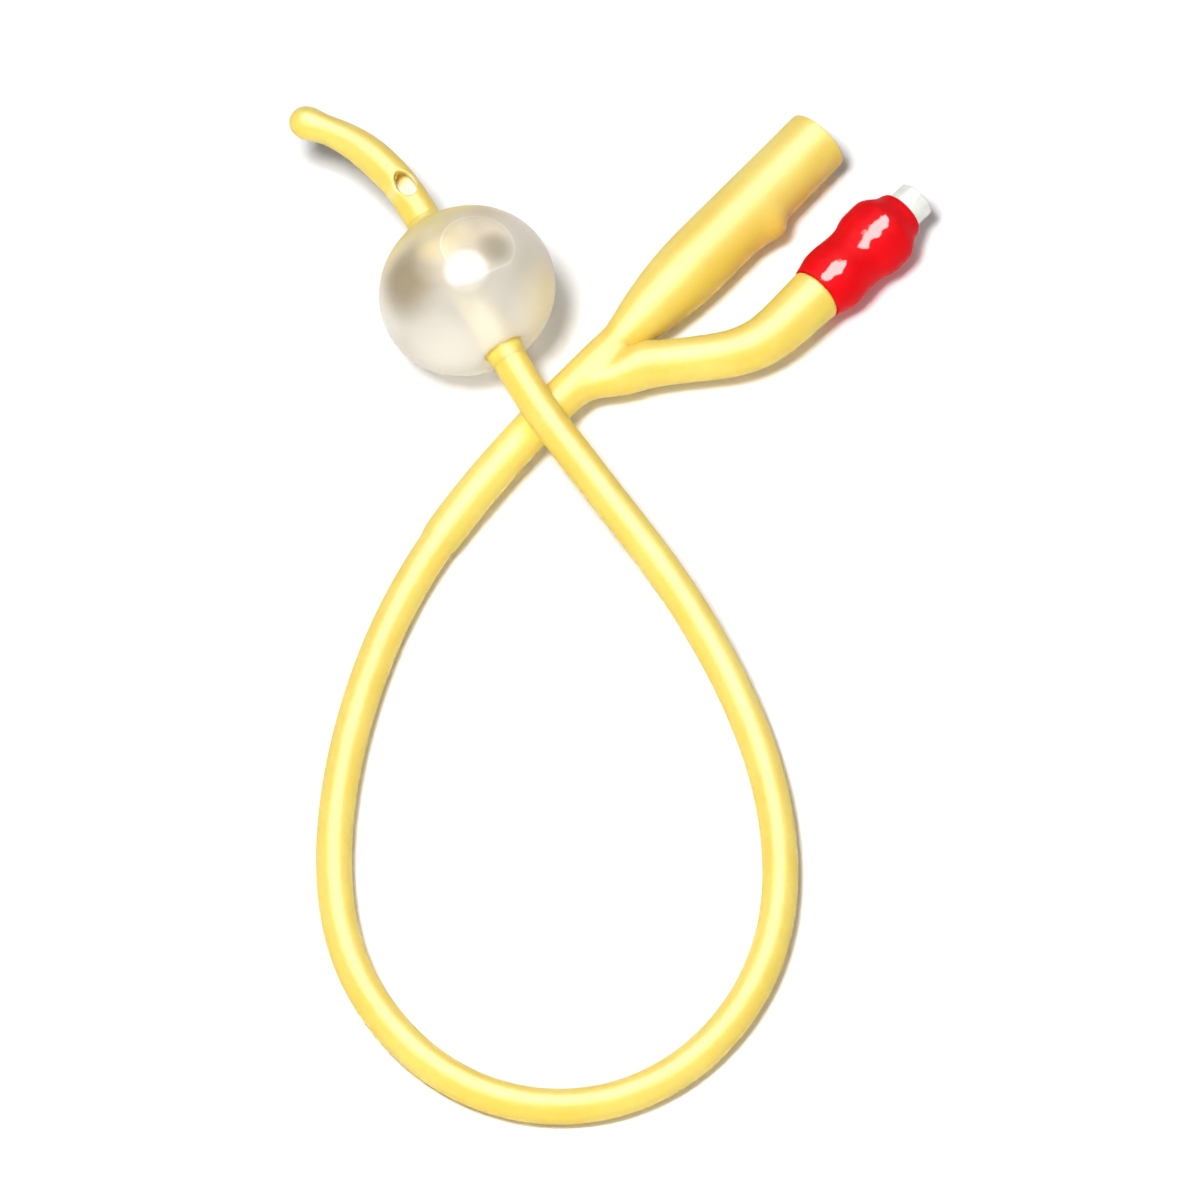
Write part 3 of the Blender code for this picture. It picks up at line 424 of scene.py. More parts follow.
class Finish:
    """A material: constants on its Principled shader, and nodes for what changes over a surface."""

    def __init__(self, name, constants):
        self.material = bpy.data.materials.new(name)
        self.material.use_nodes = True
        self.tree = self.material.node_tree
        self.shader = self.tree.nodes["Principled BSDF"]
        for socket, value in constants.items():
            self.shader.inputs[socket].default_value = value

    def node(self, kind, settings, values, output=0):
        made = self.tree.nodes.new(kind)
        for name, value in settings.items():
            setattr(made, name, value)
        for key, value in values.items():
            if isinstance(value, Wire):
                self.tree.links.new(value.socket, made.inputs[key])
            else:
                made.inputs[key].default_value = value
        return Wire(self, made.outputs[output])

    def feed(self, socket, wire):
        self.tree.links.new(wire.socket, self.shader.inputs[socket])

    def place(self):
        return self.node("ShaderNodeTexCoord", {}, {}, "Object")

    def noise(self, place, size, detail=2.0):
        """Cloudy noise whose blotches are about size metres across."""
        values = {"Vector": place, "Scale": 1.0 / size, "Detail": detail}
        return self.node("ShaderNodeTexNoise", {}, values)

    def blend(self, share, first, second):
        """Colour that goes from the first to the second as the share goes from 0 to 1."""
        values = {0: share, 6: self.colour(first), 7: self.colour(second)}
        return self.node("ShaderNodeMix", {"data_type": "RGBA"}, values, 2)

    @staticmethod
    def colour(value):
        return value if isinstance(value, Wire) else (*value, 1.0)

    def vector(self, operation, values, output="Vector"):
        settings = {"operation": operation}
        return self.node("ShaderNodeVectorMath", settings, values, output)

    def dot(self, place, direction):
        return self.vector("DOT_PRODUCT", {0: place, 1: direction}, "Value")

    def bump(self, height, depth):
        """Relief whose height from 0 to 1 stands for a depth in metres."""
        values = {"Strength": 1.0, "Distance": depth, "Height": height}
        self.feed("Normal", self.node("ShaderNodeBump", {}, values))


LATEX_PALE = (0.96, 0.75, 0.17)
LATEX_DEEP = (0.94, 0.68, 0.11)
LATEX_PAINTED_LIGHT = (1.0, 0.90, 0.62)


def latex(name, painted_light_spots):
    """Dipped or moulded amber latex: light sinks in, and the faces that look up have a soft sheen.
    Round each spot the colour is a cream of painted light, which ends between its near and far
    distances."""
    finish = Finish(name, {
        "Specular IOR Level": 0.2,
        "Subsurface Weight": 0.35,
        "Subsurface Radius": (1.0, 0.7, 0.25),
        "Subsurface Scale": 0.0005,
        "Coat Roughness": 0.42,
        "Coat IOR": 1.6,
    })
    place = finish.place()
    facing = finish.dot(finish.node("ShaderNodeNewGeometry", {}, {}, "Normal"), UP)
    finish.feed("Coat Weight", 0.03 + 0.8 * facing.between(0.5, 0.98))
    cloud = finish.noise(place, 0.011, 3.0)
    fleck = finish.noise(place, 0.0009, 4.0)
    tone = (cloud * 0.75 + fleck * 0.25).between(0.32, 0.68)
    colour = finish.blend(tone, LATEX_DEEP, LATEX_PALE)
    # Painted light: cream round each spot.
    for spot, near, far in painted_light_spots:
        away = finish.vector("DISTANCE", {0: place, 1: spot}, "Value")
        colour = finish.blend(away.between(near, far), LATEX_PAINTED_LIGHT, colour)
    finish.feed("Base Color", colour)
    finish.feed("Roughness", 0.36 + 0.12 * cloud + 0.06 * fleck)
    grain = finish.noise(place, 0.00035, 3.0)
    ripple = finish.noise(place, 0.0035, 2.0)
    finish.bump(0.25 * grain + 0.75 * ripple, 0.00006)
    return finish.material


def unit(x, y, z):
    return Vector((x, y, z)).normalized()


# Directions from the balloon's centre: where painted shade darkens the film in dark patches, where
# a painted glow stands for the milky filling shining through it, where it is amber, the band of
# painted glow, the highlight, and the clear patch on top with its painted reflection and the chord
# that cuts it off
PAINTED_SHADE_LEFT = unit(-0.629, 0.383, 0.676)
PAINTED_SHADE_RIGHT = unit(0.427, -0.583, 0.696)
PAINTED_SHADE_FAR = unit(0.471, 0.404, 0.785)
PAINTED_SHADE_IN_PATCH = unit(0.196, -0.254, 0.949)
GLOW = unit(-0.848, -0.464, 0.239)
AMBER_LIMB = unit(0.285, -0.941, 0.187)
AMBER_BAND = unit(-0.05, 0.33, 0.94)
GLOW_BAND = unit(-0.308, 0.20, 0.93)
GLINT = unit(-0.234, -0.214, 0.949)
PATCH = unit(0.123, -0.064, 0.990)
PATCH_ACROSS = Vector((0.6508, -0.7593, 0.0))
PATCH_CHORD = Vector((-0.346, -0.818, -0.459))
PATCH_HALF_WIDTH = 0.425
PATCH_HALF_LENGTH = 0.415
# Film colours: the milky and amber tints, the dark colour of painted shade, the bright colour of
# painted light on the clear patch's rim, and the grey of painted shade within the clear patch.
FILM_MILKY = (0.92, 0.88, 0.77)
FILM_PAINTED_SHADE = (0.18, 0.165, 0.135)
FILM_AMBER = (0.91, 0.64, 0.17)
FILM_PAINTED_RIM_LIGHT = (1.0, 0.98, 0.93)
FILM_PAINTED_SHADE_HAZE = (0.18, 0.18, 0.17)


def balloon_film(name, centre, axis, inner):
    """Stretched latex film: milky, darkened by painted shade on its flanks and amber towards its
    cuffs, with a painted glow of the milky filling, one clear patch with painted light and shade,
    and one highlight on top."""
    finish = Finish(name, {
        "Specular IOR Level": 0.15,
        "Subsurface Weight": 1.0,
        "Subsurface Radius": (1.0, 0.9, 0.7),
        "Subsurface Scale": 0.004,
        "Coat Roughness": 0.15,
        "Coat IOR": 1.8,
        "Emission Strength": 1.0,
    })
    place = finish.place()
    spoke = finish.vector("SUBTRACT", {0: place, 1: centre})
    spoke = finish.vector("SCALE", {0: spoke, "Scale": 2.0 / BALLOON_DIAMETER})

    def towards(direction, low, high):
        return finish.dot(spoke, direction).between(low, high)

    cloud = finish.noise(place, 0.006, 3.0)
    left = towards(PAINTED_SHADE_LEFT, 0.76, 1.02)
    right = towards(PAINTED_SHADE_RIGHT, 0.62, 1.1)
    far = towards(PAINTED_SHADE_FAR, 0.66, 1.1)
    # Painted shade: dark patches on the film's flanks, standing for dark surroundings seen in it.
    painted_shade = (left + 0.45 * right + 0.18 * far + 0.1 * cloud).held()
    limb = towards(AMBER_LIMB, 0.7, 1.0)
    amber = (towards(axis, 0.38, 0.72) + 0.6 * limb + 0.6 * towards(AMBER_BAND, 0.90, 0.99)
             + towards(-1.0 * axis, 0.9, 0.96)).held()
    film = finish.blend(painted_shade, FILM_MILKY, FILM_PAINTED_SHADE)
    film = finish.blend(amber * 0.9, film, FILM_AMBER)
    across = PATCH_ACROSS - PATCH * PATCH_ACROSS.dot(PATCH)
    across.normalize()
    along = PATCH.cross(across)
    wide = finish.dot(spoke, across) * (1.0 / PATCH_HALF_WIDTH)
    long = finish.dot(spoke, along) * (1.0 / PATCH_HALF_LENGTH)
    front = towards(PATCH, 0.0, 0.1)
    out = wide * wide + long * long
    chord = finish.dot(spoke, PATCH_CHORD)
    clear = (1.0 - out.between(0.93, 1.0)) * (1.0 - chord.between(-0.09, -0.07)) * front
    # Painted light: a bright line round the clear patch, part of its painted reflection.
    rim = (out.between(0.84, 0.97) + chord.between(-0.13, -0.085)).held() * clear
    film = finish.blend(rim * 0.4, film, FILM_PAINTED_RIM_LIGHT)
    # Painted shade: a dark grey cloud within the clear patch, part of its painted reflection.
    painted_shade_haze = clear * towards(PAINTED_SHADE_IN_PATCH, 0.945, 1.0)
    film = finish.blend(painted_shade_haze, film, FILM_PAINTED_SHADE_HAZE)
    finish.feed("Base Color", film)
    veil = 0.16 if inner else 0.42
    glint = towards(GLINT, 0.950, 0.990)
    # The film is more opaque where it is thicker towards the cuffs, and where the painted shade,
    # painted light and highlight lie, so that they show.
    thick_and_painted = painted_shade + amber + 0.1 * rim + 0.6 * painted_shade_haze + 0.9 * glint
    finish.feed("Alpha", (veil + veil * (thick_and_painted - 0.25 * clear)).held())
    finish.feed("Roughness", 0.35 + 0.1 * cloud)
    # Painted glow: emission that stands for light in the milky filling, brightest low at the front,
    # and also in the clear patch, on the amber limb and along the band over the shaft.
    glow = 0.05 + 0.22 * towards(GLOW, 0.1, 1.0) + 0.34 * towards(GLOW, 0.8, 1.0)
    glow = glow * (1.0 - 0.9 * painted_shade) + 0.22 * clear * (1.0 - painted_shade_haze)
    glow = glow + 0.15 * limb + 0.16 * towards(GLOW_BAND, 0.93, 1.0)
    warm = finish.blend(amber, (1.0, 0.955, 0.84), (1.0, 0.82, 0.45))
    finish.feed("Emission Color", finish.blend(glow.held(), (0.0, 0.0, 0.0), warm))
    if not inner:
        finish.feed("Coat Weight", glint)
    return finish.material


# Glossy patches along the sleeve's top: place along it, half length and half width
SLEEVE_PATCHES = ((0.0116, 0.0038, 0.0014), (0.0028, 0.0027, 0.0011))
SLEEVE_RIDGE = unit(0.0, -0.22, 0.975)


def sleeve_rubber(arm):
    """Stretched red rubber: dull where it is drawn tight over the valve's flanks, and glossy in
    ragged patches along its top."""
    finish = Finish("sleeve_rubber", {
        "Specular IOR Level": 0.04,
        "Subsurface Weight": 0.15,
        "Subsurface Radius": (1.0, 0.1, 0.1),
        "Subsurface Scale": 0.001,
        "Coat Roughness": 0.05,
        "Coat IOR": 1.9,
    })
    place = finish.place()
    cloud = finish.noise(place, 0.004, 3.0)
    ragged = finish.noise(place, 0.0014, 5.0)
    sideways = SLEEVE_RIDGE.cross(arm.last).normalized()
    patches = 0.0
    for along, length, width in SLEEVE_PATCHES:
        spot = arm.at(arm.length + along)
        run = (finish.dot(place, arm.last) - arm.last.dot(spot)) * (1.0 / length)
        off = (finish.dot(place, sideways) - sideways.dot(spot)) * (1.0 / width)
        patches = patches + (1.0 - run * run - off * off + 3.0 * ragged).between(1.55, 1.95)
    middle = SLEEVE_RIDGE.dot(arm.at(arm.length + SLEEVE_PATCHES[-1][0]))
    over = finish.dot(place, SLEEVE_RIDGE).between(middle, middle + 0.001)
    red = finish.blend(cloud.between(0.3, 0.7), (0.81, 0.004, 0.008), (0.89, 0.006, 0.011))
    finish.feed("Base Color", red)
    finish.feed("Roughness", 0.40 + 0.15 * cloud)
    finish.feed("Coat Weight", 0.85 * patches.held() * over)
    finish.bump(finish.noise(place, 0.0012, 2.0), 0.00003)
    return finish.material


def moulded(name, colour, shade, roughness):
    """Moulded plastic with faint mottle and a fine spark-eroded grain."""
    finish = Finish(name, {"IOR": 1.46, "Subsurface Weight": 0.2, "Subsurface Scale": 0.0008})
    place = finish.place()
    cloud = finish.noise(place, 0.002, 3.0)
    finish.feed("Base Color", finish.blend(cloud.between(0.3, 0.7), shade, colour))
    finish.feed("Roughness", roughness + 0.1 * cloud)
    finish.bump(finish.noise(place, 0.00015, 2.0), 0.00001)
    return finish.material


def soft_seal():
    finish = Finish("soft_seal", {"IOR": 1.5})
    cloud = finish.noise(finish.place(), 0.0006, 3.0)
    finish.feed("Base Color", finish.blend(cloud, (0.02, 0.02, 0.02), (0.05, 0.05, 0.05)))
    finish.feed("Roughness", 0.5 + 0.25 * cloud)
    finish.bump(cloud, 0.00002)
    return finish.material


def drawn_wire():
    finish = Finish("drawn_wire", {"Metallic": 1.0})
    streak = finish.noise(finish.place(), 0.0002, 3.0)
    finish.feed("Base Color", finish.blend(streak, (0.48, 0.48, 0.49), (0.72, 0.72, 0.73)))
    finish.feed("Roughness", 0.18 + 0.2 * streak)
    finish.bump(streak, 0.000005)
    return finish.material


def ring(centre, heading, side, radius, sides, slant=0.0, lift=0.0):
    """Corners round the centre, the first towards the side and lifted off the round form; slant
    leans the ring along its heading. The corners are set out so that the rounded skin fits."""
    above = heading.cross(side).normalized()
    grow = 3.0 / (2.0 + math.cos(math.tau / sides))
    corners = []
    for index in range(sides):
        angle = math.tau * index / sides
        grown = radius * grow + (lift if index == 0 else 0.0)
        place = centre + (side * math.cos(angle) + above * math.sin(angle)) * grown
        corners.append(place + heading * slant * math.cos(angle))
    return corners


class Skin:
    """A skin drawn out ring by ring, as by hand: one circle, and each next ring extruded from the
    last and set in place. Every corner keeps the number of its ring and its place round it."""

    def __init__(self, name, corners):
        bpy.ops.object.select_all(action="DESELECT")
        bpy.ops.mesh.primitive_circle_add(vertices=len(corners), radius=SHAFT_DIAMETER)
        self.thing = bpy.context.object
        self.thing.name = name
        self.thing.data.name = name
        self.sides = len(corners)
        self.rings = 0
        bpy.ops.object.mode_set(mode="EDIT")
        shape = bmesh.from_edit_mesh(self.thing.data)
        shape.verts.layers.int.new("ring")
        shape.verts.layers.int.new("turn")
        turn = shape.verts.layers.int["turn"]
        for index, corner in enumerate(shape.verts):
            corner[turn] = index
        self.settle(corners)

    def open(self):
        shape = bmesh.from_edit_mesh(self.thing.data)
        return shape, shape.verts.layers.int["ring"], shape.verts.layers.int["turn"]

    def settle(self, corners):
        shape, ring_of, turn = self.open()
        for corner in shape.verts:
            if corner.select:
                corner[ring_of] = self.rings
                corner.co = corners[corner[turn]]
        bmesh.update_edit_mesh(self.thing.data)

    def extrude(self, corners):
        """Draws the chosen loop out to new corners and gives the new ring's number."""
        bpy.ops.mesh.extrude_region_move()
        self.rings += 1
        self.settle(corners)
        return self.rings

    def choose(self, names):
        """Selects the corners with these (ring, turn) names."""
        bpy.ops.mesh.select_all(action="DESELECT")
        names = set(names)
        shape, ring_of, turn = self.open()
        for corner in shape.verts:
            if (corner[ring_of], corner[turn]) in names:
                corner.select = True
        shape.select_flush(True)
        bmesh.update_edit_mesh(self.thing.data)

    def loop(self, number):
        return [(number, turn) for turn in range(self.sides)]

    def fill(self, number):
        self.choose(self.loop(number))
        bpy.ops.mesh.edge_face_add()

    def bridge(self, names, cuts=0):
        self.choose(names)
        bpy.ops.mesh.bridge_edge_loops(number_cuts=cuts)

    def close(self):
        """Joins the last ring to the first."""
        self.bridge(self.loop(0) + self.loop(self.rings))

    def remove(self, names):
        self.choose(names)
        bpy.ops.mesh.delete(type="VERT")

    def branch(self, names, corners):
        """Draws a loop out of a hole, whose corners take new places round it in the order given."""
        self.choose(names)
        bpy.ops.mesh.extrude_region_move()
        shape, ring_of, turn = self.open()
        for corner in shape.verts:
            if corner.select:
                corner[turn] = names.index((corner[ring_of], corner[turn]))
        self.rings += 1
        self.settle(corners)

    def move(self, places):
        """Sets single corners: (ring, turn) to a new place."""
        shape, ring_of, turn = self.open()
        for corner in shape.verts:
            name = (corner[ring_of], corner[turn])
            if name in places:
                corner.co = places[name]
        bmesh.update_edit_mesh(self.thing.data)

    def finish(self, level, finish):
        """Turns the faces out, rounds the skin and gives it its finish."""
        bpy.ops.mesh.select_all(action="SELECT")
        bpy.ops.mesh.normals_make_consistent(inside=False)
        bpy.ops.object.mode_set(mode="OBJECT")
        for name in ("ring", "turn"):
            self.thing.data.attributes.remove(self.thing.data.attributes[name])
        rounded = self.thing.modifiers.new("rounded", "SUBSURF")
        rounded.levels = level
        rounded.render_levels = level
        bpy.ops.object.modifier_apply(modifier="rounded")
        bpy.ops.object.shade_smooth()
        self.thing.data.materials.append(finish)
        return self.thing


def tip_radius(from_tip):
    olive_r = OLIVE_DIAMETER / 2
    stations = ((olive_r, olive_r), (NECK_FROM_TIP, NECK_DIAMETER / 2),
                (TAPER_FROM_TIP, SHAFT_DIAMETER / 2))
    return through_stations(stations, from_tip)


def shaft_stations(route):
    """Outside of the shaft as (place, radius), from its end in the funnel to the olive."""
    lip = SHANK_LENGTH - SHAFT_END_FROM_FORK
    spigot_r = SPIGOT_DIAMETER / 2
    shaft_r = SHAFT_DIAMETER / 2
    edge = 0.00012
    eyes_start = route.length - EYES_START_FROM_TIP
    eyes_end = route.length - EYES_END_FROM_TIP
    olive = route.length - OLIVE_DIAMETER / 2
    full = lip - SOCKET_MOUTH_DEPTH + 3.0 * edge
    stations = [(0.0, spigot_r - edge), (edge, spigot_r)]
    stations += [(place, spigot_r) for place in evenly(0.003, full - edge, SHAFT_STEP)]
    stations += [(full, shaft_r), (full + 2.0 * edge, shaft_r)]
    stations += [(place, shaft_r) for place in evenly(lip, eyes_start, SHAFT_STEP)]
    for start, end, step in ((eyes_start, eyes_end, EYE_STEP), (eyes_end, olive, TIP_STEP)):
        stations += [(place, tip_radius(route.length - place))
                     for place in evenly(start, end, step)[1:]]
    return stations


def shaft_corner(route, place, radius, angle, offset):
    left = route.left(place)
    above = route.heading(place).cross(left).normalized()
    centre = route.at(place) - left * offset
    return centre + (left * math.cos(angle) + above * math.sin(angle)) * radius


def make_shaft(route, finish):
    """Latex tube with its wide lumen, two oval eyes with soft rims, and the olive tip."""
    stations = shaft_stations(route)
    olive_r = OLIVE_DIAMETER / 2
    lumen_r = LUMEN_DIAMETER / 2
    grow = 3.0 / (2.0 + math.cos(math.tau / SHAFT_SIDES))
    angles = [math.tau * index / SHAFT_SIDES for index in range(SHAFT_SIDES)]

    def inside(place, radius):
        from_eye = abs(route.length - TOP_EYE_FROM_TIP - place)
        rise = EYE_FLOOR_RISE * (1.0 - smooth_step(from_eye / EYE_LENGTH * 2.0 - 0.4))
        corners = []
        for angle in angles:
            spread = angle - 0.44 * math.sin(2.0 * angle)
            corner = shaft_corner(route, place, radius * grow, spread, LUMEN_OFFSET)
            corner.z += rise * max(-math.sin(spread), 0.0)
            corners.append(corner)
        return corners

    caps = [math.radians(angle) for angle in (22.0, 44.0, 62.0, 76.0, 86.0)]
    tip = route.length - olive_r
    rounds = [(tip + olive_r * math.sin(angle), olive_r * math.cos(angle)) for angle in caps]
    outer = list(reversed(stations + rounds))
    skin = Skin("shaft_tube", route.ring(*outer[0], SHAFT_SIDES))
    numbers = {outer[0][0]: 0}
    for place, radius in outer[1:]:
        numbers[place] = skin.extrude(route.ring(place, radius, SHAFT_SIDES))
    lumen_end = route.length - LUMEN_END_FROM_TIP
    lumen = [place for place, radius in stations if 0.0 < place < lumen_end]
    skin.extrude(inside(0.0, lumen_r + 0.0001))
    inner_numbers = {place: skin.extrude(inside(place, lumen_r)) for place in lumen}
    last = skin.extrude(inside(lumen_end + 0.0003, lumen_r * 0.5))
    skin.fill(last)
    skin.fill(0)
    for from_tip, top in ((TOP_EYE_FROM_TIP, math.pi / 2), (UNDER_EYE_FROM_TIP, -math.pi / 2)):
        cut_eye(skin, route, route.length - from_tip, top, numbers, inner_numbers)
    shaft = skin.finish(1, finish)
    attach(shaft, "root")
    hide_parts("shaft")
    path = [route.at(place) for place in evenly(0.0, route.length, CORD_STEP)]
    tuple(path[0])


def cut_eye(skin, route, centre, top, outer, inner):
    """Opens one oval eye through the wall into the lumen."""
    step = math.tau / SHAFT_SIDES
    middle = round(top / step) % SHAFT_SIDES
    shaft_r = max(tip_radius(route.length - centre), NECK_DIAMETER / 2)

    def sideways(turn):
        """How far a turn is from the eye's middle, in turns and in half widths of the eye."""
        off = (turn - middle + SHAFT_SIDES / 2) % SHAFT_SIDES - SHAFT_SIDES / 2
        return off, shaft_r * math.sin(off * step) / (EYE_WIDTH / 2)

    places = sorted(place for place in inner if abs(place - centre) < EYE_LENGTH)
    holes = set()
    for first, second in zip(places, places[1:]):
        along = ((first + second) / 2 - centre) / (EYE_LENGTH / 2)
        for turn in range(SHAFT_SIDES):
            off, across = sideways(turn + 0.5)
            if abs(off) < SHAFT_SIDES / 4 and along ** 2 + across ** 2 < 0.93:
                holes.add((first, second, turn))
    corners = {}
    for first, second, turn in holes:
        for place in (first, second):
            for corner in (turn, (turn + 1) % SHAFT_SIDES):
                corners[(place, corner)] = corners.get((place, corner), 0) + 1
    rim = {name for name, count in corners.items() if count < 4}
    within = [name for name, count in corners.items() if count == 4]
    for numbers in (outer, inner):
        skin.remove([(numbers[place], turn) for place, turn in within])
    for numbers, length, width, radius, offset in (
            (outer, EYE_LENGTH, EYE_WIDTH, shaft_r, 0.0),
            (inner, EYE_FOOT_LENGTH, EYE_FOOT_WIDTH, LUMEN_DIAMETER / 2, LUMEN_OFFSET)):
        moved = {}
        for place, turn in rim:
            along = (place - centre) / (EYE_LENGTH / 2)
            across = sideways(turn)[1]
            far = math.hypot(along, across)
            new_place = centre + along / far * length / 2
            sine = across / far * width / 2 / radius
            angle = top + math.asin(max(-1.0, min(1.0, sine)))
            moved[(numbers[place], turn)] = shaft_corner(route, new_place, radius, angle, offset)
        skin.move(moved)
    skin.bridge([(numbers[place], turn) for numbers in (outer, inner) for place, turn in rim], 1)


def make_balloon(route, finishes):
    """Thin blown shell on the shaft, open at its two cuffs. Its finishes are those of the outside,
    the inside and the cuff that is bonded to the shaft."""
    centre = route.length - BALLOON_FROM_TIP
    half = BALLOON_LENGTH / 2
    outer_r = BALLOON_DIAMETER / 2
    dimple_r = DIMPLE_DIAMETER / 2
    cuff_r = SHAFT_DIAMETER / 2 + BOND_GAP
    edge_r = cuff_r + BOND_GAP
    lip_r = cuff_r + CUFF_WALL

    def at(radius, along):
        return route.ring(centre + along, radius, BALLOON_SIDES)

    def arc(radius, length, stop_r):
        """Blown form from the cuff at the tip's end to the dimple round the other cuff."""
        start = math.acos(stop_r / radius)
        stop = math.acos(dimple_r / radius)
        turn = start + stop
        angles = [start - turn * index / BALLOON_RINGS for index in range(BALLOON_RINGS + 1)]
        return [(radius * math.cos(angle), length * math.sin(angle)) for angle in angles]

    def dimple(from_end, low_r):
        """The film folding back towards the middle before it meets the shaft."""
        edge_place = -half * math.sin(math.acos(DIMPLE_DIAMETER / BALLOON_DIAMETER)) + from_end
        span = dimple_r - low_r
        fold = ((0.22, -0.25), (0.45, -0.22), (0.66, 0.05), (0.84, 0.5), (0.96, 0.86))
        return [(low_r + span * (1.0 - share), edge_place + back * DIMPLE_DEPTH)
                for share, back in fold]

    inner = arc(outer_r - BALLOON_WALL, half - BALLOON_WALL, cuff_r + 0.0002)
    cuff = half + BALLOON_CUFF
    profile = [(edge_r, cuff), ((edge_r + lip_r) / 2, cuff - CUFF_STEP),
               (lip_r, cuff - BALLOON_CUFF)]
    profile += arc(outer_r, half, lip_r + 0.0004) + dimple(0.0, lip_r)
    cuff_start = len(profile)
    foot = profile[-1][1] + 0.1 * DIMPLE_DEPTH
    for place in evenly(foot - 0.0002, -cuff, CUFF_STEP):
        share = (place + cuff) / (foot + cuff)
        profile.append((edge_r + (lip_r - edge_r) * share, place))
    count_outside = len(profile)
    profile += [(cuff_r, place) for place in (-cuff, -cuff + 0.0008, foot - 0.0002, foot + 0.0006)]
    profile += reversed(inner + dimple(BALLOON_WALL, cuff_r))
    profile.append((cuff_r, cuff))
    skin = Skin("balloon_film", at(*profile[0]))
    for radius, along in profile[1:]:
        skin.extrude(at(radius, along))
    skin.close()
    shape, ring_of, _ = skin.open()
    for face in shape.faces:
        first = min(corner[ring_of] for corner in face.verts)
        last = max(corner[ring_of] for corner in face.verts)
        if last <= 3 or first >= cuff_start - 1:
            face.material_index = 2
        if first >= count_outside:
            face.material_index = 1
    bmesh.update_edit_mesh(skin.thing.data)
    for extra in finishes[:-1]:
        skin.thing.data.materials.append(extra)
    balloon = skin.finish(1, finishes[-1])
    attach(balloon, "root")
    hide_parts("balloon")


def funnel_radius(from_mouth):
    mouth_r = MOUTH_DIAMETER / 2
    belly_r = BELLY_DIAMETER / 2
    waist_r = WAIST_DIAMETER / 2
    if from_mouth <= BELLY_FROM_MOUTH:
        return mouth_r + (belly_r - mouth_r) * smooth_step(from_mouth / BELLY_FROM_MOUTH)
    share = (from_mouth - BELLY_FROM_MOUTH) / (WAIST_FROM_MOUTH - BELLY_FROM_MOUTH)
    if share <= 1.0:
        return belly_r - (belly_r - waist_r) * share ** FLARE_POWER
    past = (from_mouth - WAIST_FROM_MOUTH) / (FUNNEL_LENGTH - WAIST_FROM_MOUTH)
    return waist_r + (SHANK_DIAMETER / 2 - waist_r) * smooth_step(past)


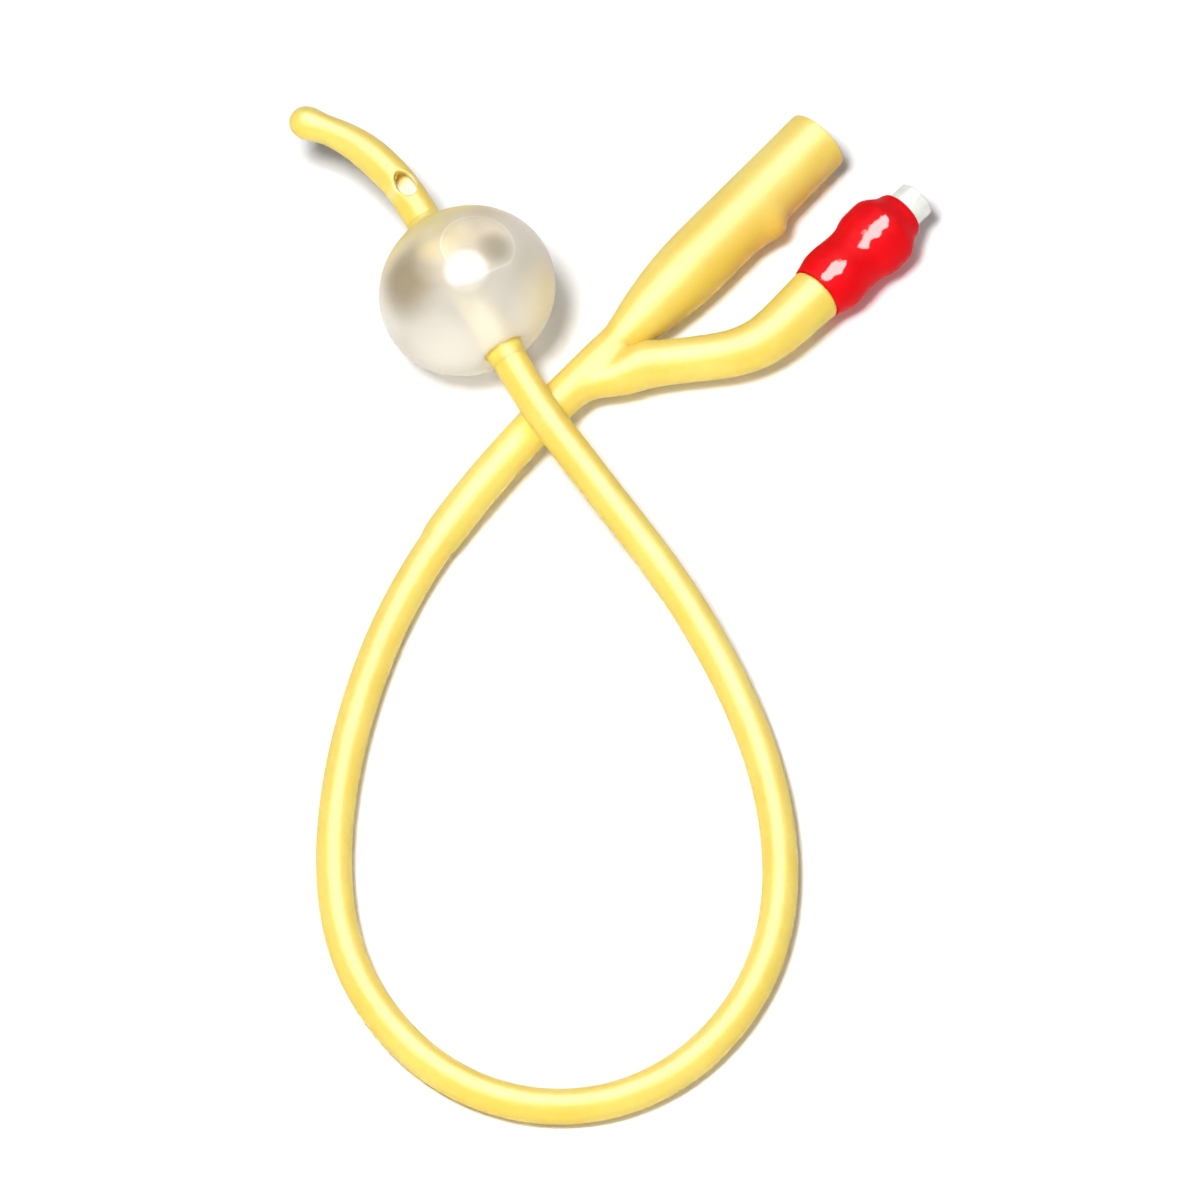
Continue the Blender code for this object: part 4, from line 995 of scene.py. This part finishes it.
def make_y_funnel(route, arm, finish):
    """Funnel, shank and inflation arm as one moulding, with the bore from mouth to shank."""
    towards_fork = Vector((-1.0, 0.0, 0.0))
    arm_side = Vector((0.0, -1.0, 0.0))
    mouth = FORK - towards_fork * FUNNEL_LENGTH
    edge = 0.00035
    last = CAGE_SIDES - 1

    def funnel(place, radius, lift=0.0):
        centre = mouth + towards_fork * place
        return ring(centre, towards_fork, arm_side, radius, CAGE_SIDES, lift=lift)

    def shank(place, radius):
        return route.ring(place, radius, CAGE_SIDES)

    def branch(place, radius, slant=0.0):
        return arm.ring(place, radius, CAGE_SIDES, slant)

    crest = LUG_CREST_FROM_MOUTH
    steep_foot = crest - LUG_STEEP_LENGTH
    slope_foot = crest + LUG_SLOPE_LENGTH
    plain = [edge, steep_foot * 0.4, steep_foot - LUG_STEEP_LENGTH, steep_foot]
    lug = [crest, crest + LUG_HALFWAY, slope_foot, slope_foot + LUG_SLOPE_LENGTH]
    flare = evenly(BELLY_FROM_MOUTH, WAIST_FROM_MOUTH, FLARE_STEP)
    lifts = {lug[0]: LUG_CREST_LIFT * LUG_HEIGHT, lug[1]: LUG_HALFWAY_LIFT * LUG_HEIGHT}
    skin = Skin("y_funnel_latex", funnel(0.0, MOUTH_DIAMETER / 2))
    for place in plain + lug + flare[:-1]:
        skin.extrude(funnel(place, funnel_radius(place), lifts.get(place, 0.0)))
    skin.extrude(funnel(WAIST_FROM_MOUTH, WAIST_DIAMETER / 2))
    near, middle, far = [skin.extrude(funnel(place, funnel_radius(place))) for place in (
        WAIST_FROM_MOUTH + FORK_RING_PAST_WAIST, FUNNEL_LENGTH - FORK_RING_AHEAD,
        FUNNEL_LENGTH + FORK_RING_BEHIND)]

    lip = SHANK_LENGTH - SHAFT_END_FROM_FORK
    shank_r = SHANK_DIAMETER / 2
    shaft_r = SHAFT_DIAMETER / 2
    socket_r = SPIGOT_DIAMETER / 2 + SOCKET_CLEARANCE
    step = shank_r - shaft_r
    shank_start = SHANK_FROM_FORK - SHAFT_END_FROM_FORK
    for place in evenly(shank_start, lip - LIP_TAPER, SHANK_STEP):
        skin.extrude(shank(place, shank_r))
    snug = shaft_r + LIP_GAP
    for from_lip, radius in (
            (LIP_TAPER * 0.6, shank_r - 0.2 * step), (LIP_TAPER * 0.25, shank_r - 0.6 * step),
            (0.0, snug + 0.00004), (0.0, snug), (SOCKET_MOUTH_DEPTH, snug)):
        skin.extrude(shank(lip - from_lip, radius))
    for place in evenly(lip - 0.6 * SHANK_STEP, 0.0005, SHANK_STEP):
        skin.extrude(shank(place, socket_r))
    lumen_r = LUMEN_DIAMETER / 2
    throat_r = THROAT_BORE_DIAMETER / 2
    mouth_r = MOUTH_BORE_DIAMETER / 2
    skin.extrude(shank(-SOCKET_CLEARANCE, socket_r))
    skin.extrude(shank(-SOCKET_CLEARANCE, lumen_r))
    bore = [(WAIST_FROM_MOUTH + 0.003, lumen_r), (WAIST_FROM_MOUTH, lumen_r + 0.0002),
            ((WAIST_FROM_MOUTH + THROAT_FROM_MOUTH) / 2, (lumen_r + throat_r) / 2),
            (THROAT_FROM_MOUTH, throat_r)]
    bore += [(place, throat_r + (mouth_r - throat_r) * (1.0 - place / THROAT_FROM_MOUTH))
             for place in (0.022, 0.011, edge)]
    bore.append((0.0, mouth_r))
    for place, radius in bore:
        skin.extrude(funnel(place, radius))
    skin.close()

    skin.remove([(middle, 0)])
    hole = [(near, 0), (near, 1), (middle, 1), (far, 1), (far, 0), (far, last), (middle, last),
            (near, last)]
    root = branch(ARM_ROOT_FROM_FORK, ARM_ROOT_DIAMETER / 2, ARM_ROOT_SLANT)
    outer = CAGE_SIDES // 2
    outward = -UP.cross(arm.first)
    for index, share in ((outer - 1, 0.5), (outer, 1.0), (outer + 1, 0.5)):
        root[index] += outward * KNUCKLE_LIFT * share
    skin.branch(hole, root)
    arm_r = ARM_DIAMETER / 2
    end_r = ARM_END_DIAMETER / 2
    skin.extrude(branch(ARM_WAIST_FROM_FORK, arm_r, ARM_WAIST_SLANT))
    for place in evenly(ARM_WAIST_FROM_FORK + ARM_STEP, arm.length, ARM_STEP)[:-1]:
        flare = max(place - ARM_FLARE_FROM_FORK, 0.0) / (arm.length - ARM_FLARE_FROM_FORK)
        skin.extrude(branch(place, arm_r + (end_r - arm_r) * flare))
    bore_r = ARM_BORE_DIAMETER / 2
    for place, radius in (
            (-edge, end_r), (0.0, end_r), (0.0, NOSE_ROOT_DIAMETER / 2),
            (edge, NOSE_ROOT_DIAMETER / 2), (NOSE_BEAD_START, NOSE_BEAD_DIAMETER / 2),
            (NOSE_BEAD_END, NOSE_BEAD_DIAMETER / 2), (NOSE_END - edge, NOSE_END_DIAMETER / 2),
            (NOSE_END, NOSE_END_DIAMETER / 2), (NOSE_END, bore_r), (NOSE_END - edge, bore_r),
            (NOSE_END / 2, bore_r), (ARM_BORE_FOOT + edge, bore_r), (ARM_BORE_FOOT, bore_r)):
        skin.extrude(branch(arm.length + place, radius))
    skin.fill(skin.rings)
    y_funnel = skin.finish(3, finish)
    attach(y_funnel, "root")
    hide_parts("y_funnel")


def sleeve_outside(place):
    """Radius of the sleeve as it lies over the nose's bead, the barrel and the valve's ring."""
    snug = SLEEVE_CLEARANCE + SLEEVE_WALL
    under = (
        (NOSE_BEAD_START, NOSE_BEAD_DIAMETER),
        (NOSE_BEAD_END, NOSE_BEAD_DIAMETER),
        (WAIST_START, BARREL_DIAMETER),
        (WAIST_END, BARREL_DIAMETER),
        (RING_FOOT, RING_DIAMETER),
        (RING_TOP, RING_DIAMETER),
        (SHOULDER_TOP, SHOULDER_DIAMETER),
    )
    stations = [(0.0, NOSE_ROOT_DIAMETER / 2 + snug + SLEEVE_EASE)]
    stations += [(foot, diameter / 2 + snug) for foot, diameter in under]
    stations.append((SLEEVE_LENGTH, SLEEVE_LIP_DIAMETER / 2))
    return through_stations(stations, place)


def make_sleeve(arm, finish):
    """Stretched rubber sleeve with the shallow dents that pull its gloss out of line."""
    sides = 48
    edge = 0.00012
    wall = 0.0005

    def at(place, radius):
        centre = arm.at(arm.length + place)
        fade = smooth_step(place / SLEEVE_FADE)
        fade *= smooth_step((SLEEVE_LENGTH - place) / SLEEVE_FADE)
        dented = []
        for corner in arm.ring(arm.length + place, radius, sides):
            lump = noise.noise(corner * 420.0) + 0.5 * noise.noise(corner * 900.0)
            outward = (corner - centre).normalized()
            dented.append(corner + outward * (lump - 0.25) * SLEEVE_DENT * fade)
        return dented

    places = evenly(SLEEVE_START + edge, SLEEVE_LENGTH - edge, SLEEVE_STEP)
    start_r = sleeve_outside(SLEEVE_START)
    skin = Skin("valve_sleeve_rubber", at(SLEEVE_START, start_r - edge))
    for place in places:
        skin.extrude(at(place, sleeve_outside(place)))
    end_r = sleeve_outside(SLEEVE_LENGTH)
    skin.extrude(at(SLEEVE_LENGTH, end_r - edge))
    skin.extrude(at(SLEEVE_LENGTH, end_r - wall + edge))
    for place in reversed(places):
        skin.extrude(at(place, sleeve_outside(place) - wall))
    skin.extrude(at(SLEEVE_START, start_r - wall + edge))
    skin.close()
    sleeve = skin.finish(1, finish)
    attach(sleeve, "root")
    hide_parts("valve_sleeve")


def make_port(arm, finish):
    """Valve body: fluted port with a rounded rim and the luer cone, then neck, ring and barrel."""
    sides = 40
    edge = 0.00018
    flute = 0.00007
    port_r = PORT_DIAMETER / 2 - flute / 2
    neck_r = PORT_NECK_DIAMETER / 2
    ring_r = RING_DIAMETER / 2
    barrel_r = BARREL_DIAMETER / 2
    chamber_r = CHAMBER_DIAMETER / 2
    hole_r = SEAT_HOLE_DIAMETER / 2
    foot_r = LUER_FOOT_DIAMETER / 2
    luer_r = LUER_MOUTH_DIAMETER / 2
    port_foot = SLEEVE_LENGTH + 0.0003
    step = ring_r - barrel_r

    def at(place, radius, depth):
        corners = arm.ring(arm.length + place, radius, sides)
        centre = arm.at(arm.length + place)
        return [corner + (corner - centre).normalized() * depth * math.cos(math.pi * index / 2)
                for index, corner in enumerate(corners)]

    profile = (
        (PORT_END, port_r - edge),
        (PORT_END - edge / 3, port_r - edge / 3),
        (PORT_END - edge, port_r),
        (PORT_END - 3 * edge, port_r),
        (port_foot + 2 * edge, port_r),
        (port_foot, port_r),
        (port_foot, neck_r),
        (port_foot - edge, neck_r),
        (SHOULDER_TOP, neck_r),
        (SHOULDER_TOP, SHOULDER_DIAMETER / 2),
        (RING_TOP, ring_r),
        (RING_FOOT + edge, ring_r),
        (RING_FOOT, ring_r - edge),
        (RING_FOOT - step, barrel_r),
        (BARREL_FOOT + edge, barrel_r),
        (BARREL_FOOT, barrel_r),
        (BARREL_FOOT, chamber_r),
        (BARREL_FOOT + edge, chamber_r),
        (SEAT_FACE - edge, chamber_r),
        (SEAT_FACE, chamber_r),
        (SEAT_FACE, hole_r),
        (SEAT_TOP, hole_r),
        (SEAT_TOP, foot_r),
        (SEAT_TOP + edge, foot_r),
        (PORT_END - 2 * edge, luer_r),
        (PORT_END - edge / 2, luer_r + edge / 4),
        (PORT_END, luer_r + edge),
    )
    fluted = (0.0, 0.3, 0.8, 1.0, 1.0, 0.6)
    shares = fluted + (0.0,) * (len(profile) - len(fluted))
    skin = Skin("valve_port", at(*profile[0], 0.0))
    for (place, radius), share in zip(profile[1:], shares[1:]):
        skin.extrude(at(place, radius, share * flute))
    skin.close()
    port = skin.finish(1, finish)
    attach(port, "root")
    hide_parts("valve_body")


def make_spring(arm, finish):
    """Coil with a closed turn at each end, as it stands before the stem is pushed in."""
    steps = 20
    wire_r = SPRING_WIRE / 2
    mean_r = SPRING_DIAMETER / 2 - wire_r
    open_rise = (SPRING_TOP - SPRING_FOOT - 2.0 * SPRING_END_RISE) / (SPRING_TURNS - 2)
    side = UP.cross(arm.last).normalized()
    above = arm.last.cross(side).normalized()

    def at(turns):
        height = SPRING_FOOT + SPRING_END_RISE + open_rise * (turns - 1.0)
        if turns < 1.0:
            height = SPRING_FOOT + SPRING_END_RISE * turns
        elif turns > SPRING_TURNS - 1:
            height = SPRING_TOP - SPRING_END_RISE * (SPRING_TURNS - turns)
        angle = math.tau * turns
        outward = side * math.cos(angle) + above * math.sin(angle)
        return arm.at(arm.length + height) + outward * mean_r, outward

    def loop(turns):
        centre, outward = at(turns)
        heading = (at(turns + 0.01)[0] - at(turns - 0.01)[0]).normalized()
        return ring(centre, heading, outward, wire_r, 8)

    skin = Skin("valve_coil", loop(0.0))
    for index in range(1, SPRING_TURNS * steps + 1):
        skin.extrude(loop(index / steps))
    skin.fill(skin.rings)
    skin.fill(0)
    spring = skin.finish(1, finish)
    ends = [arm.at(arm.length + place)
            for place in (SPRING_FOOT - SPRING_GIVE, SPRING_TOP + SPRING_GIVE)]
    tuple(ends[0])
    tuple(ends[1])
    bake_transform(spring)
    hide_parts("valve_spring")


def dress_node(name, finish):
    """Gives a solid that stays its finish."""
    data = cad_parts[name].data
    data.materials.clear()
    data.materials.append(finish)


TABLE_SIZE = 6.0
TABLE_DROP = 0.0002
WORLD_LIGHT = 0.13


def make_floor():
    """Table that is white to the eye, and keeps the shadow of what lies on it."""
    bpy.ops.object.select_all(action="DESELECT")
    bpy.ops.mesh.primitive_plane_add(size=TABLE_SIZE, location=(0.0, 0.0, -TABLE_DROP))
    floor = bpy.context.object
    floor.name = "table"
    finish = Finish("table_white", {
        "Base Color": (0.95, 0.95, 0.96, 1.0),
        "Roughness": 1.0,
        "Specular IOR Level": 0.0,
        "Emission Strength": 1.0,
    })
    seen = finish.node("ShaderNodeLightPath", {}, {}, "Is Camera Ray")
    mirrored = finish.node("ShaderNodeLightPath", {}, {}, "Is Glossy Ray")
    through = finish.node("ShaderNodeLightPath", {}, {}, "Is Transmission Ray")
    shown = (seen + mirrored + through).held()
    finish.feed("Emission Color", finish.blend(shown, (0.0, 0.0, 0.0), (0.05, 0.05, 0.055)))
    floor.data.materials.append(finish.material)


def set_world():
    """White to the eye and through glass, plain soft grey light on everything else, gloss included.
    """
    world = bpy.data.worlds.new("studio")
    bpy.context.scene.world = world
    world.use_nodes = True
    tree = world.node_tree
    soft = tree.nodes["Background"]
    white = tree.nodes.new("ShaderNodeBackground")
    for background in (soft, white):
        background.inputs["Color"].default_value = (1.0, 1.0, 1.0, 1.0)
    soft.inputs["Strength"].default_value = WORLD_LIGHT
    rays = tree.nodes.new("ShaderNodeLightPath")
    shown = tree.nodes.new("ShaderNodeMath")
    shown.use_clamp = True
    tree.links.new(rays.outputs["Is Camera Ray"], shown.inputs[0])
    tree.links.new(rays.outputs["Is Transmission Ray"], shown.inputs[1])
    mixed = tree.nodes.new("ShaderNodeMixShader")
    tree.links.new(shown.outputs[0], mixed.inputs[0])
    tree.links.new(soft.outputs[0], mixed.inputs[1])
    tree.links.new(white.outputs[0], mixed.inputs[2])
    tree.links.new(mixed.outputs[0], tree.nodes["World Output"].inputs["Surface"])


def softbox(name, direction, distance, size, power, lights=True, mirrors=True):
    """Square lamp that may light surfaces, be mirrored in them, or both."""
    lamp = bpy.data.lights.new(name, "AREA")
    lamp.shape = "SQUARE"
    lamp.size = size
    lamp.energy = power
    thing = bpy.data.objects.new(name, lamp)
    thing.visible_diffuse = lights
    thing.visible_glossy = mirrors
    bpy.context.scene.collection.objects.link(thing)
    aim = Vector(direction).normalized()
    thing.location = VIEW_CENTRE + aim * distance
    thing.rotation_mode = "QUATERNION"
    thing.rotation_quaternion = aim.to_track_quat("Z", "Y")


def main():
    bpy.context.scene.view_settings.view_transform = "Standard"
    set_camera()
    route = shaft_route()
    arm = Arm()
    centre = route.at(route.length - BALLOON_FROM_TIP)
    axis = route.heading(route.length - BALLOON_FROM_TIP)
    eye = route.at(route.length - TOP_EYE_FROM_TIP)
    # Spots of painted light on the latex: cream over the shaft inside the balloon, where the milky
    # filling's glow lies on it, and on the lumen's floor under the top eye, where light falls in.
    painted_light_spots = ((centre, 0.0100, 0.0118), (eye, 0.0020, 0.0030))
    shaft_finish = latex("shaft_latex", painted_light_spots)
    funnel_finish = latex("funnel_latex", ())
    make_shaft(route, shaft_finish)
    make_balloon(route, (balloon_film("balloon_film", centre, axis, inner=False),
                         balloon_film("balloon_inside", centre, axis, inner=True), shaft_finish))
    make_y_funnel(route, arm, funnel_finish)
    make_sleeve(arm, sleeve_rubber(arm))
    make_port(arm, moulded("port_plastic", (0.87, 0.90, 0.85), (0.81, 0.83, 0.76), 0.35))
    dress_node("valve_tail", moulded("tail_plastic", (0.88, 0.88, 0.79), (0.82, 0.81, 0.71), 0.4))
    dress_node("valve_stem", moulded("stem_plastic", (0.82, 0.82, 0.78), (0.74, 0.74, 0.68), 0.35))
    dress_node("valve_seal", soft_seal())
    make_spring(arm, drawn_wire())
    make_floor()
    set_world()
    softbox("key", (-0.308, -0.015, 0.951), 1.5, 0.33, 22.5, mirrors=False)
    softbox("glint", (0.10, 0.15, 0.98), 0.9, 1.1, 30.0, lights=False)
    softbox("fill", (-0.07, -0.94, 0.33), 1.2, 0.8, 2.1, mirrors=False)


main()
